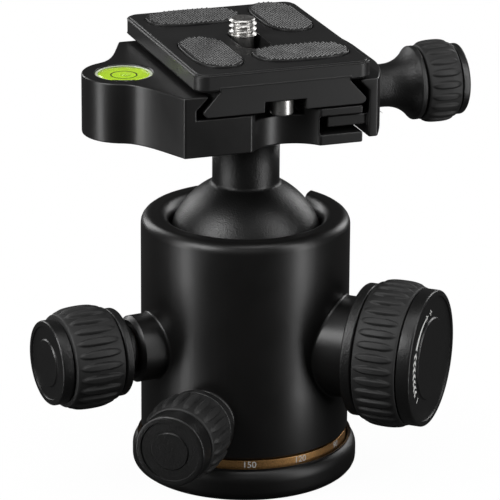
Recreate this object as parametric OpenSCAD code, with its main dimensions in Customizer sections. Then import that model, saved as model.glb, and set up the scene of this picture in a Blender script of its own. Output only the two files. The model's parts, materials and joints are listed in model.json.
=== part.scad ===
// Tripod ball head with three control knobs, a screw-knob quick-release clamp and its dovetail plate.
// +Z is up along the pan axis and the origin is the centre of the base's underside.
// The pan knob points to -Y, the main knob to +X and the drop notch to +Y.
// Heights build up from the base: flange, spindle foot, washer, bearing, retainer, spring plate,
// spring, seat and ball.

/* [Base] */
// Step from the housing's wall out to the edge of the base flange
base_lip = 2; // [1.8:0.1:2.3]
// Height of the base flange's raised rim
base_h = 7.9; // [7.6:0.1:8.2]
// Height of the flange's floor, which carries the scale ring and the spindle
floor_h = 6; // [5.5:0.1:6.3]
// Width of the raised rim
rim_w = 1.4; // [1.2:0.1:1.6]
// Bore radius of the 3/8 inch tripod thread
tripod_r = 4.7625; // [3.175:0.0125:4.7625]
// Depth of the tripod thread
tripod_depth = 9; // [8:0.5:9.5]
// Radius of the central hub that holds the tripod thread
hub_r = 8; // [7.5:0.1:8.5]
// Height of the hub above the flange's floor
hub_h = 5; // [4.6:0.1:5.5]
// Step from the housing's wall in to the scale ring
ring_inset = 0.4; // [0.2:0.1:0.6]
// Width of the numbered scale ring
ring_w = 5.4; // [5:0.1:5.6]
// Thickness of the pan spindle's foot
spindle_foot_t = 2.9; // [2.6:0.1:3]
// Number of screws that join the spindle to the flange
spindle_screw_count = 3; // [3:1:4]
// Distance of the spindle screws from the spindle's shaft
spindle_screw_step = 2.4; // [2:0.1:2.6]
// Radius of the spindle screws' shanks
spindle_screw_r = 1.25; // [1:0.05:1.3]
// Thickness of the thrust washer
washer_t = 0.85; // [0.7:0.05:1]
// Radius of the spindle retainer disc
retainer_r = 15.5; // [14:0.1:16.5]
// Thickness of the spindle retainer disc
retainer_t = 1.5; // [1.2:0.1:1.7]

/* [Housing] */
// Outer radius of the housing
body_r = 24; // [23.8:0.05:24.1]
// Radius of the rounded outer edge of the rim
rim_round = 2.5; // [1.5:0.1:2.8]
// Thickness of the housing's wall
wall_t = 5.7; // [5.6:0.05:5.9]
// Width of the rim around the flared mouth
rim_land = 4; // [3.6:0.1:4.4]
// Height of the rim above the ball's centre
rim_rise = 8.9; // [8.5:0.1:9.4]
// Side clearance of the stem in the drop notch
notch_gap = 0.5; // [0.3:0.1:1]
// Height of the pan bearing
bearing_h = 14.2; // [13.8:0.1:14.8]
// Thickness of the spring plate
spring_plate_t = 1.5; // [1.2:0.1:2]

/* [Ball and seat] */
// Height of the ball's centre above the seat's top
ball_rise = 10; // [9.6:0.1:10.5]
// Radius of the stem
stem_r = 7.7; // [7:0.1:8]
// Length of the stem from the ball's centre to the clamp
stem_l = 30.85; // [30.5:0.05:34]
// Radius of the fillet between stem and ball
stem_fillet = 1.2; // [0.8:0.1:2]
// Height of the ball seat
seat_h = 12.5; // [12:0.1:13]
// Height of the seat's cylindrical band above its cone
seat_band = 4; // [3.6:0.1:4.4]
// Radius of the opening in the seat's underside
seat_hole_r = 6.5; // [6:0.1:7.5]
// Height of the disc spring under the seat
spring_h = 2.4; // [2:0.1:3]

/* [Main knob] */
// Direction of the main knob, in degrees from -Y towards +X
main_angle = 90; // [85:1:95]
// Height of the main knob's axis above the seat's underside
main_rise = 2.1; // [1.9:0.1:2.6]
// Radius of the housing's boss for the main knob
main_boss_r = 11.7; // [11.2:0.1:12.2]
// Height of the boss beyond the housing's wall
main_boss_h = 4.3; // [3.8:0.1:5]
// Gap between the boss and the knob's flange
main_gap = 0.5; // [0.4:0.1:1]
// Thickness of the knob's flange
main_flange_t = 2.6; // [2.2:0.1:2.8]
// Radius of the knob's flange
main_flange_r = 15.25; // [14.8:0.05:15.5]
// Radius of the grip band
main_grip_r = 15.85; // [15.4:0.05:16.2]
// Radius of the grip across its ribs
main_rib_r = 16.9; // [16.4:0.1:17]
// Length of the grip
main_grip_w = 10.3; // [9.6:0.1:11]
// Number of ribs on the grip
main_ribs = 36; // [24:1:40]
// Radius of the cap
main_cap_r = 15.7; // [15:0.1:16]
// Thickness of the cap
main_cap_t = 3.2; // [2.8:0.1:3.6]
// Radius of the raised disc in the cap's face
main_disc_r = 9.4; // [8.5:0.1:10.5]
// Radius of the main stud and pressure pin
main_stud_r = 4; // [3.5:0.1:4]

/* [Friction knob] */
// Direction of the friction knob, in degrees from -Y towards +X
friction_angle = -41.5; // [-45:0.5:-38]
// Height of the friction knob's axis above the seat's underside
friction_rise = 2.6; // [2.2:0.1:2.8]
// Radius of the housing's boss for the friction knob
friction_boss_r = 7.7; // [7.2:0.1:8.2]
// Height of the boss beyond the housing's wall
friction_boss_h = 5.5; // [5:0.1:6]
// Length of the bare neck between the boss and the knob's flange
friction_neck_l = 3.1; // [2.7:0.1:3.5]
// Radius of the knob's neck
friction_neck_r = 5.5; // [5:0.1:6]
// Thickness of the knob's flange
friction_flange_t = 2.1; // [1.8:0.1:2.4]
// Radius of the knob's flange
friction_flange_r = 10.1; // [9.6:0.1:10.3]
// Radius of the grip band
friction_grip_r = 10.6; // [10.3:0.1:10.9]
// Radius of the grip across its ribs
friction_rib_r = 11.8; // [11.3:0.1:12.2]
// Length of the grip
friction_grip_w = 11.9; // [11:0.1:12.5]
// Number of ribs on the grip
friction_ribs = 24; // [18:1:28]
// Radius of the cap
friction_cap_r = 9.7; // [9.2:0.1:10]
// Thickness of the cap
friction_cap_t = 2.8; // [2.4:0.1:3.4]
// Radius of the raised disc in the cap's face
friction_disc_r = 5.4; // [5:0.1:6]
// Radius of the friction stud and plug
friction_stud_r = 3; // [2.6:0.1:3.2]

/* [Pan knob] */
// Direction of the pan knob, in degrees from -Y towards +X
pan_angle = 0; // [-4:1:4]
// Height of the pan knob's axis above the housing's lower edge
pan_rise = 9.3; // [9.1:0.1:9.5]
// Radius of the housing's boss for the pan knob
pan_boss_r = 6.5; // [6:0.1:6.8]
// Height of the boss beyond the housing's wall
pan_boss_h = 2.6; // [2.3:0.1:3]
// Gap between the boss and the knob's flange
pan_gap = 0.4; // [0.4:0.1:0.8]
// Thickness of the knob's flange
pan_flange_t = 2.1; // [1.8:0.1:2.4]
// Radius of the knob's flange
pan_flange_r = 8.3; // [7.9:0.1:8.5]
// Radius of the grip band
pan_grip_r = 8.5; // [8.2:0.1:8.8]
// Radius of the grip across its ribs
pan_rib_r = 9.56; // [9.2:0.02:9.8]
// Length of the grip
pan_grip_w = 10.8; // [10:0.1:11.4]
// Number of ribs on the grip
pan_ribs = 20; // [14:1:24]
// Radius of the cap
pan_cap_r = 8.3; // [7.8:0.05:8.4]
// Thickness of the cap
pan_cap_t = 4.4; // [3.8:0.1:5]
// Radius of the raised disc in the cap's face
pan_disc_r = 4.36; // [3.8:0.02:4.9]
// Radius of the pan stud and brake shoe
pan_stud_r = 2.95; // [2.5:0.05:3.2]

/* [Clamp] */
// Angle of the clamp about the stem
clamp_yaw = 41; // [30:1:50]
// Half the clamp's width along the dovetail
clamp_half_v = 24.1; // [23.6:0.1:24.6]
// Height of the clamp's base up to its lip and the level's lobe
clamp_h = 13.85; // [13.5:0.05:14.3]
// Depth of the dovetail groove
groove_depth = 5.25; // [5.2:0.05:5.4]
// Gap between the groove's wall and the tip of the plate's dovetail
tip_gap = 1.51; // [1.3:0.01:1.7]
// Overhang of the fixed lip over the groove
lip_over = 2.65; // [2.4:0.05:2.8]
// Width of the wall behind the groove
wall_w = 2.75; // [2.5:0.05:3]
// Half the width of the channel for the stop screws
channel_half = 5.9; // [5:0.1:6.2]
// Depth of the stop-screw channel below the groove
channel_depth = 1.7; // [1.5:0.05:2]
// Radius of the finger scoop in the clamp's sides
scoop_r = 10.2; // [9:0.1:12]
// Depth of the finger scoop
scoop_depth = 3.9; // [3:0.1:4.2]
// Centre of the finger scoop along the clamp
scoop_u = 1; // [0:0.1:2]
// Radius of the lobe that holds the level
lobe_r = 9.5; // [9:0.1:10]
// Distance of the level's centre from the clamp's left side
lobe_l = 6.35; // [6:0.05:6.7]
// Radius of the level's clear vial
level_r = 6.45; // [5.9:0.05:6.6]
// Radius of the screw that holds the clamp on the stem
stem_screw_r = 3; // [2.5:0.1:3.3]

/* [Jaw] */
// Overhang of the jaw's hook over the tip of the plate's dovetail
hook_over = 1.44; // [1.2:0.02:1.5]
// Depth of the jaw's hook
hook_l = 2.15; // [2.1:0.05:2.3]
// Opening between the clamp's base and the jaw
jaw_gap = 1.35; // [1.3:0.05:1.6]
// Thickness of the jaw at its ends
jaw_end_t = 2.15; // [1.9:0.05:3]
// Thickness of the jaw in the middle
jaw_mid_t = 8; // [7.2:0.1:8.2]
// Height of the jaw's underside above the base's underside
jaw_foot = 1; // [0.5:0.05:1.4]
// Height of the jaw's top above the lip
jaw_rise = 0.7; // [0.5:0.05:0.9]
// Length of the tongues in the clamp's slots
tongue_l = 8.15; // [7.5:0.05:8.5]
// Thickness of the tongues
tongue_t = 2.6; // [2.2:0.1:2.7]

/* [Clamp knob] */
// Depth of the clamp knob's axis below the groove
knob_drop = 3.55; // [3.5:0.05:3.7]
// Radius of the knob's neck
clamp_neck_r = 4.94; // [4.6:0.02:5.4]
// Length of the neck from the jaw to its flare
clamp_neck_l = 4.6; // [4:0.1:5]
// Length of the neck's flare
clamp_flare_l = 6.5; // [6:0.1:6.8]
// Thickness of the knob's flange
clamp_flange_t = 1.65; // [1.4:0.05:1.8]
// Radius of the knob's flange
clamp_flange_r = 8.5; // [8.2:0.05:8.8]
// Radius of the grip band
clamp_grip_r = 8.55; // [8.3:0.05:8.8]
// Radius of the grip across its ribs
clamp_rib_r = 9.55; // [9.2:0.05:9.55]
// Length of the grip
clamp_grip_w = 8.1; // [7.6:0.1:8.4]
// Number of ribs on the grip
clamp_ribs = 20; // [14:1:24]
// Radius of the cap
clamp_cap_r = 8.2; // [7.8:0.05:8.4]
// Thickness of the cap
clamp_cap_t = 1.75; // [1.5:0.05:2]
// Radius of the raised disc in the cap's face
clamp_disc_r = 4.6; // [4:0.1:5.4]
// Radius of the clamp screw
clamp_stud_r = 2.95; // [2.4:0.05:2.95]

/* [Plate] */
// Centre of the plate across the dovetail
plate_u = 0.65; // [0.5:0.05:0.8]
// Length of the plate along the dovetail
plate_l = 53.2; // [52.6:0.1:56]
// Front end of the plate along the dovetail
plate_front = 24.4; // [24:0.1:25]
// Half the width of the plate's slab
slab_half = 20.55; // [20:0.05:20.8]
// Thickness of the slab
slab_t = 4.2; // [3.8:0.05:4.6]
// Size of the rounding around the slab
slab_round = 0.7; // [0.4:0.1:0.9]
// Radius of the slab's corners
slab_corner = 3; // [2:0.1:4]
// Half the width of the dovetail at its tips
dove_tip = 19.04; // [18.9:0.02:19.1]
// Width of the dovetail's sloped flanks
dove_flank = 3.81; // [3.6:0.01:4]
// Height of the dovetail below the slab
dove_h = 5.6; // [5.5:0.05:5.8]
// Height of the dovetail's tips above its underside
dove_tip_h = 1.35; // [1.3:0.05:1.5]
// Half the width of the recess in the plate's underside
recess_half = 4.8; // [4.4:0.1:5.2]
// Depth of the recess in the plate's underside
recess_depth = 2.4; // [2.2:0.05:2.6]
// Radius of the 1/4 inch camera screw
camera_r = 3.175; // [3.175:0.001:3.18]
// Radius of the camera screw's neck
camera_neck_r = 2.6; // [2.3:0.1:2.8]
// Position of the camera screw along the dovetail
camera_v = -4.6; // [-5:0.1:-4]
// Height of the camera screw's tip above the slab
camera_h = 3.85; // [3.5:0.05:4.6]
// Height of the rubber pads above the slab
pad_h = 0.45; // [0.3:0.05:0.6]
// Depth of the pads' pockets in the slab
pad_pocket = 0.6; // [0.4:0.1:0.8]
// Radius of the stop screws' heads
stop_r = 2.6; // [2.3:0.1:2.8]
// Distance of the stop screws from the plate's ends
stop_inset = 2.9; // [2.8:0.1:3.2]
// Height of the stop screws' heads below the dovetail
stop_h = 1.35; // [1.1:0.05:1.5]

/* [Hidden] */
// Running clearance between turning or sliding pairs
fit = 0.05;
// Hairline between pieces that are fixed to each other
hair = 0.1;
// Clearance between the ball and the surfaces that hold it
ball_gap = 0.1;
// Clearance of loose holes and pockets
loose = 0.3;
// Joint lines from a knob's flange to its grip and from the grip to its cap
flange_line = 0.4;
cap_line = 0.3;
// Overrun of cutting tools
cut = 1;
// Smoothness of round surfaces
$fn = 64;

// Stack of heights, from the base up
spindle_foot_top = floor_h + spindle_foot_t;
body_z0 = spindle_foot_top + washer_t + fit;
bearing_top = body_z0 + bearing_h;
spindle_top = bearing_top + hair;
retainer_top = spindle_top + retainer_t;
screw_head_t = 1.4;
spring_plate_z = retainer_top + 0.5;
spring_z = spring_plate_z + spring_plate_t;
seat_bottom = spring_z + spring_h;
seat_top = seat_bottom + seat_h;
ball_z = seat_top + ball_rise;
body_z1 = ball_z + rim_rise;
stem_top = ball_z + stem_l;
main_z = seat_bottom + main_rise;
friction_z = seat_bottom + friction_rise;
pan_z = body_z0 + pan_rise;

// Base and housing
base_r = body_r + base_lip;
rim_inner_r = base_r - rim_w;
foot_round = 2.5;
rim_slope = 3.2;
rim_edge = 0.25;
hub_top = floor_h + hub_h;
ring_r = body_r - ring_inset;
ring_inner_r = ring_r - ring_w;
ring_top = body_z0 - loose;
spindle_r = body_r / 2;
spindle_screw_pcd_r = spindle_r + spindle_screw_step;
spindle_foot_r = ring_inner_r - 0.8;
retainer_screw_r = 2.5;
retainer_screw_l = 8;
bore_r = body_r - wall_t;
ball_r = bore_r - loose;
mouth_r = body_r - rim_land;
throat_rise = 5.4;
body_edge = 0.5;
friction_boss_edge = 0.9;
bush_seat = 3;
bush_z = body_r - bush_seat;
bush_wall = 2;
main_bush_wall = 3;
pin_end = bush_z + 1;
stud_start = pin_end + fit;

// Ball seat and what presses on it
seat_r = bore_r - 0.4;
seat_cone_h = seat_h - seat_band;
seat_foot_r = seat_r - seat_cone_h;
spring_t = 0.5;
pin_start = seat_foot_r + 0.8;
shoe_end = spindle_r + 4;
stem_screw_l = 10;

// Knobs
edge = 0.6;
cap_round = 0.8;
cap_rim = 1.3;
cap_recess = 0.3;
core_drum = 0.6;
rib_share = 0.82;
rib_fill = 0.5;
rib_foot = 0.2;
main_boss_l = body_r + main_boss_h;
main_l = main_boss_l + main_gap;
friction_boss_l = body_r + friction_boss_h;
friction_l = friction_boss_l + friction_neck_l;
pan_boss_l = body_r + pan_boss_h;
pan_l = pan_boss_l + pan_gap;

// Clamp, in its own axes
lip_z = stem_top + clamp_h;
lip_edge = 0.5;
groove_z = lip_z - groove_depth;
channel_z = groove_z - channel_depth;
groove_u = plate_u - dove_tip - tip_gap;
lip_u = groove_u + lip_over;
clamp_u0 = groove_u - wall_w;
hook_u = plate_u + dove_tip - hook_over;
jaw_u = hook_u + hook_l;
clamp_u1 = jaw_u - jaw_gap;
clamp_knob_z = groove_z - knob_drop;
stud_seat = 6;
stem_head_r = 1.7 * stem_screw_r;
stem_head_t = 3;
level_u = clamp_u0 - lobe_l;
shoulder = 108;
lobe_lead = 4;
corner_lead = [2.85, 6.1];
vial_wall = 0.6;
vial_h = 6.6;
vial_top = lip_z - loose;
vial_floor = vial_top - vial_h;
lens_t = 1.6;
lens_edge = 0.4;

// Jaw and clamp knob
jaw_end_u = jaw_u + jaw_end_t;
jaw_mid_u = jaw_u + jaw_mid_t;
jaw_flat = 7;
jaw_sweep = 1.5;
jaw_z0 = stem_top + jaw_foot;
jaw_z1 = lip_z + jaw_rise;
tongue_u = clamp_u1 - tongue_l;
tongue_z0 = clamp_knob_z - tongue_t / 2;
tongue_z1 = clamp_knob_z + tongue_t / 2;
tongue_inner = 9.5;
tongue_outer = clamp_half_v - 1.1;
slot_u = tongue_u - 2;
slot_z0 = tongue_z0 - 1.25;
slot_z1 = tongue_z1 + loose;
slot_inner = tongue_inner - 0.9;
clamp_l = jaw_mid_u + clamp_neck_l + clamp_flare_l;

// Plate
slab_z0 = jaw_z1 + fit;
slab_z1 = slab_z0 + slab_t;
slab_steps = 3;
dove_z0 = slab_z0 - dove_h;
dove_tip_z = dove_z0 + dove_tip_h;
dove_neck = dove_tip - dove_flank;
dove_foot = 0.9;
dove_blunt = 0.2;
recess_z = dove_z0 + recess_depth;
stop_slot = 0.8;
stop_shank_r = 1.5;
stop_shank_l = 3;
clip_z = recess_z + 0.15;
clip_t = 0.7;
clip_r = 6;
clip_slot = 1.4;
camera_head_z = dove_z0 + 0.55;
camera_head_r = 7.2;
camera_lead = 0.5;
screw_slot_v = 4;
pad_u = plate_u + 0.4;
pad_v = -3.6;
long_pad = [5.55, 12.25];
long_pad_at = [12.45, 11.55];
wide_pad = [10.85, 6.15];
wide_pad_at = [6.85, 17.4];

// Points of an arc from angle a0 to a1 in n steps
function arc(cx, cy, r, a0, a1, n = 6) =
    [for (i = [0:n]) let (a = a0 + (a1 - a0) * i / n) [cx + r * cos(a), cy + r * sin(a)]];

// Points of a cubic curve
function curve(p, n = 8) =
    [for (i = [0:n]) let (t = i / n, s = 1 - t)
        s * s * s * p[0] + 3 * s * s * t * p[1] + 3 * s * t * t * p[2] + t * t * t * p[3]];

// Points of an ellipse-like pad, squarer than an ellipse
function blob(cx, cy, rx, ry, n = 28, e = 0.72) =
    [for (i = [0:n - 1]) let (a = 360 * i / n, c = cos(a), s = sin(a))
        [cx + rx * sign(c) * pow(abs(c), e), cy + ry * sign(s) * pow(abs(s), e)]];

// Axis of a knob: local z runs outwards from the housing's axis
module knob_axis(a, z) {
    translate([0, 0, z])
        rotate([0, 0, a - 90])
            rotate([0, 90, 0])
                children();
}

// The clamp's own axes: x runs towards the clamp knob and y away from the front end
module clamp_axes() {
    rotate([0, 0, clamp_yaw])
        children();
}

// Axis of the clamp knob
module clamp_knob_axis() {
    knob_axis(90 + clamp_yaw, clamp_knob_z)
        children();
}

// A tube or disc between two heights
module tube(r, z0, z1, hole = 0) {
    rotate_extrude()
        polygon([[hole, z0], [r, z0], [r, z1], [hole, z1]]);
}

// A rod between two heights
module rod(r, z0, z1) {
    translate([0, 0, z0])
        cylinder(r = r, h = z1 - z0);
}

// A disc with small chamfers on both outer edges
module edged(r, z0, z1, e, hole = 0) {
    rotate_extrude()
        polygon([[hole, z0], [r - e, z0], [r, z0 + e], [r, z1 - e], [r - e, z1], [hole, z1]]);
}

// Metal core of a knob: neck, flange and the drum inside the grip, bored for its stud
module knob_core(neck_r, neck_l, l, flange_t, flange_r, grip_w, grip_r, stud_r) {
    tube(neck_r, neck_l, l + cut, stud_r);
    edged(flange_r, l, l + flange_t, edge / 2, stud_r);
    tube(grip_r * core_drum, l + cut, cap_l(l, flange_t, grip_w), stud_r);
}

// One rib of a grip, standing on the band: pointed in plan and lower towards both ends
module grip_rib(grip_r, rib_r, half, w) {
    root = grip_r - cut;
    intersection() {
        translate([0, w + cut, 0])
            rotate([90, 0, 0])
                linear_extrude(height = 2 * (w + cut))
                    polygon([[root, -half], [grip_r + rib_foot, -half], [rib_r, -half / 2], [rib_r, half / 2],
                        [grip_r + rib_foot, half], [root, half]]);
        translate([root - cut, 0, 0])
            rotate([0, 90, 0])
                linear_extrude(height = rib_r - root + 2 * cut)
                    polygon([[-half - cut, -w / 4], [-half / 2, -w], [half / 2, -w], [half + cut, -w / 4],
                        [half + cut, w / 4], [half / 2, w], [-half / 2, w], [-half - cut, w / 4]]);
    }
}

// Rubber grip of a knob: a band with raised ribs
module knob_grip(l, grip_w, grip_r, rib_r, ribs) {
    half = grip_w * rib_share / 2;
    edged(grip_r, l + flange_line, l + flange_line + grip_w, edge / 2, grip_r * core_drum);
    for (i = [0:ribs - 1])
        rotate([0, 0, 360 * (i + 0.5) / ribs])
            translate([0, 0, l + flange_line + grip_w / 2])
                grip_rib(grip_r, rib_r, half, PI * rib_r / ribs * rib_fill);
}

// Cap of a knob: rounded rim, sunken face and a raised disc in its middle
module knob_cap(l, t, r, disc_r) {
    top = l + t;
    face = top - cap_recess;
    rotate_extrude()
        polygon(concat([[0, l], [r - edge / 2, l], [r, l + edge / 2]],
            arc(r - cap_round, top - cap_round, cap_round, 0, 90, 4),
            [[r - cap_rim, top], [r - cap_rim - cap_recess, face], [disc_r + cap_recess, face], [disc_r, top],
            [0, top]]));
}

// Distance of a knob's cap from the housing's axis
function cap_l(l, flange_t, grip_w) = l + flange_t + flange_line + grip_w + cap_line;

// Pressure pin whose end is cut to the slope of the ball seat
module sloped_pin(r, z) {
    reach = seat_foot_r + z - seat_bottom + ball_gap;
    difference() {
        rod(r, pin_start, pin_end);
        translate([0, 0, reach])
            rotate([0, 45, 0])
                translate([-2 * r, -2 * r, -4 * r])
                    cube([4 * r, 4 * r, 4 * r]);
    }
}

// Threaded brass bushing of a knob
module bushing(r, l, hole_r) {
    edged(r, bush_z, l + hair, edge / 2, hole_r + fit);
}

// The places of the screws that join the spindle to the flange
module spindle_screw_places() {
    for (i = [0:spindle_screw_count - 1])
        rotate([0, 0, 360 * (i + 1 / 4) / spindle_screw_count])
            translate([spindle_screw_pcd_r, 0, 0])
                children();
}

module base_flange() {
    color("#1b1b1d")
        difference() {
            rotate_extrude()
                polygon(concat([[0, 0]], arc(base_r - foot_round, foot_round, foot_round, -90, 0),
                    arc(base_r - rim_slope, base_h - rim_slope, rim_slope, 0, 66),
                    arc(rim_inner_r + rim_edge, base_h - rim_edge, rim_edge, 80, 180, 3),
                    [[rim_inner_r, floor_h], [hub_r, floor_h], [hub_r, hub_top], [0, hub_top]]));
            rod(tripod_r, -cut, tripod_depth);
            spindle_screw_places() {
                rod(spindle_screw_r + fit, -cut, floor_h + cut);
                rod(2 * spindle_screw_r + fit, -cut, loose + screw_head_t);
            }
        }
}

module scale_ring() {
    color("#a08045")
        tube(ring_r, floor_h, ring_top, ring_inner_r);
}

module pan_spindle() {
    screw_hole_r = retainer_screw_r + fit;
    screw_floor = spindle_top - retainer_screw_l;
    color("#8d8f92")
        difference() {
            rotate_extrude()
                polygon([[hub_r + fit, floor_h], [spindle_foot_r, floor_h], [spindle_foot_r, spindle_foot_top],
                    [spindle_r, spindle_foot_top], [spindle_r, spindle_top], [screw_hole_r, spindle_top],
                    [screw_hole_r, screw_floor], [0, screw_floor],
                    [0, hub_top + fit], [hub_r + fit, hub_top + fit]]);
            spindle_screw_places()
                rod(spindle_screw_r + fit, floor_h - cut, spindle_foot_top - loose);
        }
}

module spindle_screws() {
    color("#9a9c9f")
        spindle_screw_places() {
            rod(spindle_screw_r, loose, spindle_foot_top - 2 * loose);
            rod(2 * spindle_screw_r, loose, loose + screw_head_t);
        }
}

module thrust_washer() {
    color("#e6e2d6")
        tube(spindle_foot_r, spindle_foot_top, body_z0 - fit, spindle_r + loose);
}

module spindle_retainer() {
    color("#8d8f92")
        tube(retainer_r, spindle_top, retainer_top, retainer_screw_r + fit);
}

module retainer_screw() {
    color("#9a9c9f") {
        rod(retainer_screw_r, spindle_top - retainer_screw_l + fit, retainer_top);
        rod(2 * retainer_screw_r, retainer_top, retainer_top + screw_head_t);
    }
}

// Wall of the housing with the flared mouth that holds the ball
module housing_shell() {
    inner = ball_r + ball_gap;
    throat = asin(throat_rise / inner);
    throat_r = inner * cos(throat);
    throat_z = ball_z + throat_rise;
    rotate_extrude()
        polygon(concat([[bore_r, body_z0], [body_r - body_edge, body_z0], [body_r, body_z0 + body_edge]],
            arc(body_r - rim_round, body_z1 - rim_round, rim_round, 0, 90),
            curve([[mouth_r, body_z1], [(mouth_r + throat_r) / 2, body_z1],
                [throat_r, (body_z1 + throat_z) / 2], [throat_r, throat_z]], 6),
            arc(0, ball_z, inner, throat * 7 / 8, 0, 7),
            [[bore_r, ball_z - loose]]));
}

module housing() {
    notch_r = stem_r + notch_gap;
    color("#161618")
        difference() {
            union() {
                housing_shell();
                knob_axis(main_angle, main_z)
                    edged(main_boss_r, bore_r + fit, main_boss_l, body_edge);
                knob_axis(friction_angle, friction_z)
                    edged(friction_boss_r, bore_r + fit, friction_boss_l, friction_boss_edge);
                knob_axis(pan_angle, pan_z)
                    edged(pan_boss_r, bore_r + fit, pan_boss_l, body_edge);
            }
            knob_axis(main_angle, main_z) {
                rod(main_stud_r + 2 * fit, 0, main_boss_l + cut);
                rod(main_stud_r + main_bush_wall + fit, bush_z, main_boss_l + cut);
            }
            knob_axis(friction_angle, friction_z) {
                rod(friction_stud_r + 2 * fit, 0, friction_boss_l + cut);
                rod(friction_stud_r + bush_wall + fit, bush_z, friction_boss_l + cut);
            }
            knob_axis(pan_angle, pan_z) {
                rod(pan_stud_r + 2 * fit, 0, pan_boss_l + cut);
                rod(pan_stud_r + bush_wall + fit, bush_z, pan_boss_l + cut);
            }
            translate([0, body_r + cut, ball_z])
                rotate([90, 0, 0])
                    linear_extrude(height = body_r + cut)
                        polygon(concat(arc(0, 0, notch_r, 180, 360, 16),
                            [[notch_r, rim_rise + cut], [-notch_r, rim_rise + cut]]));
        }
}

module pan_bearing() {
    color("#77787a")
        difference() {
            tube(bore_r - fit, body_z0, bearing_top, spindle_r + fit);
            knob_axis(pan_angle, pan_z)
                rod(pan_stud_r + 2 * fit, 0, bore_r + cut);
        }
}

module spring_plate() {
    color("#77787a")
        tube(bore_r - fit, spring_plate_z, spring_z, 2 * retainer_screw_r + loose);
}

module seat_spring() {
    hole_r = seat_hole_r + loose;
    top = seat_bottom - fit;
    color("#9a9c9f")
        rotate_extrude()
            polygon([[seat_foot_r, spring_z], [seat_foot_r, spring_z + spring_t], [hole_r + hair, top],
                [hole_r, top], [hole_r, top - spring_t], [seat_foot_r - spring_t, spring_z]]);
}

module main_bushing() {
    color("#b08d4c")
        knob_axis(main_angle, main_z)
            bushing(main_stud_r + main_bush_wall, main_boss_l, main_stud_r);
}

module friction_bushing() {
    color("#b08d4c")
        knob_axis(friction_angle, friction_z)
            bushing(friction_stud_r + bush_wall, friction_boss_l, friction_stud_r);
}

module pan_bushing() {
    color("#b08d4c")
        knob_axis(pan_angle, pan_z)
            bushing(pan_stud_r + bush_wall, pan_boss_l, pan_stud_r);
}

module ball_seat() {
    color("#c9b27a")
        difference() {
            rotate_extrude()
                polygon([[seat_hole_r, seat_bottom], [seat_foot_r, seat_bottom],
                    [seat_r, seat_top - seat_band], [seat_r, seat_top], [seat_hole_r, seat_top]]);
            translate([0, 0, ball_z])
                sphere(r = ball_r + ball_gap);
        }
}

module main_pin() {
    color("#9a9c9f")
        knob_axis(main_angle, main_z)
            sloped_pin(main_stud_r, main_z);
}

module friction_plug() {
    color("#d8d4c6")
        knob_axis(friction_angle, friction_z)
            sloped_pin(friction_stud_r, friction_z);
}

module pan_shoe() {
    color("#d8d4c6")
        difference() {
            knob_axis(pan_angle, pan_z)
                rod(pan_stud_r, spindle_r - cut, shoe_end);
            rod(spindle_r + fit, body_z0, bearing_top);
        }
}

module ball_and_stem() {
    reach = ball_r + stem_fillet;
    fillet_x = stem_r + stem_fillet;
    fillet_z = ball_z + sqrt(reach * reach - fillet_x * fillet_x);
    join_r = ball_r / reach;
    color("#1a1a1c")
        difference() {
            rotate_extrude() {
                difference() {
                    translate([0, ball_z])
                        circle(r = ball_r, $fn = 96);
                    translate([-2 * ball_r, 0])
                        square([2 * ball_r, 2 * stem_top]);
                }
                translate([0, ball_z])
                    square([stem_r, stem_top - ball_z]);
                difference() {
                    polygon([[0, ball_z], [fillet_x * join_r, ball_z + (fillet_z - ball_z) * join_r],
                        [fillet_x, fillet_z], [0, fillet_z]]);
                    translate([fillet_x, fillet_z])
                        circle(r = stem_fillet, $fn = 32);
                }
            }
            rod(stem_screw_r + fit, stem_top - stem_screw_l, stem_top + cut);
        }
}

module main_stud() {
    color("#9a9c9f")
        knob_axis(main_angle, main_z)
            rod(main_stud_r, stud_start, cap_l(main_l, main_flange_t, main_grip_w) - cut);
}

module main_core() {
    color("#202022")
        knob_axis(main_angle, main_z)
            knob_core(2 * main_stud_r, main_boss_l + 2 * hair, main_l, main_flange_t, main_flange_r,
                main_grip_w, main_grip_r, main_stud_r);
}

module main_grip() {
    color("#2a2a2b")
        knob_axis(main_angle, main_z)
            knob_grip(main_l + main_flange_t, main_grip_w, main_grip_r, main_rib_r, main_ribs);
}

module main_cap() {
    color("#141415")
        knob_axis(main_angle, main_z)
            knob_cap(cap_l(main_l, main_flange_t, main_grip_w), main_cap_t, main_cap_r, main_disc_r);
}

module friction_stud() {
    color("#9a9c9f")
        knob_axis(friction_angle, friction_z)
            rod(friction_stud_r, stud_start, cap_l(friction_l, friction_flange_t, friction_grip_w) - cut);
}

module friction_core() {
    color("#202022")
        knob_axis(friction_angle, friction_z)
            knob_core(friction_neck_r, friction_boss_l + 2 * hair, friction_l, friction_flange_t,
                friction_flange_r, friction_grip_w, friction_grip_r, friction_stud_r);
}

module friction_grip() {
    color("#2a2a2b")
        knob_axis(friction_angle, friction_z)
            knob_grip(friction_l + friction_flange_t, friction_grip_w, friction_grip_r, friction_rib_r,
                friction_ribs);
}

module friction_cap() {
    color("#141415")
        knob_axis(friction_angle, friction_z)
            knob_cap(cap_l(friction_l, friction_flange_t, friction_grip_w), friction_cap_t, friction_cap_r,
                friction_disc_r);
}

module pan_stud() {
    color("#9a9c9f")
        knob_axis(pan_angle, pan_z)
            rod(pan_stud_r, shoe_end + fit, cap_l(pan_l, pan_flange_t, pan_grip_w) - cut);
}

module pan_core() {
    color("#202022")
        knob_axis(pan_angle, pan_z)
            knob_core(pan_stud_r + bush_wall, pan_boss_l + 2 * hair, pan_l, pan_flange_t, pan_flange_r,
                pan_grip_w, pan_grip_r, pan_stud_r);
}

module pan_grip() {
    color("#2a2a2b")
        knob_axis(pan_angle, pan_z)
            knob_grip(pan_l + pan_flange_t, pan_grip_w, pan_grip_r, pan_rib_r, pan_ribs);
}

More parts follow.
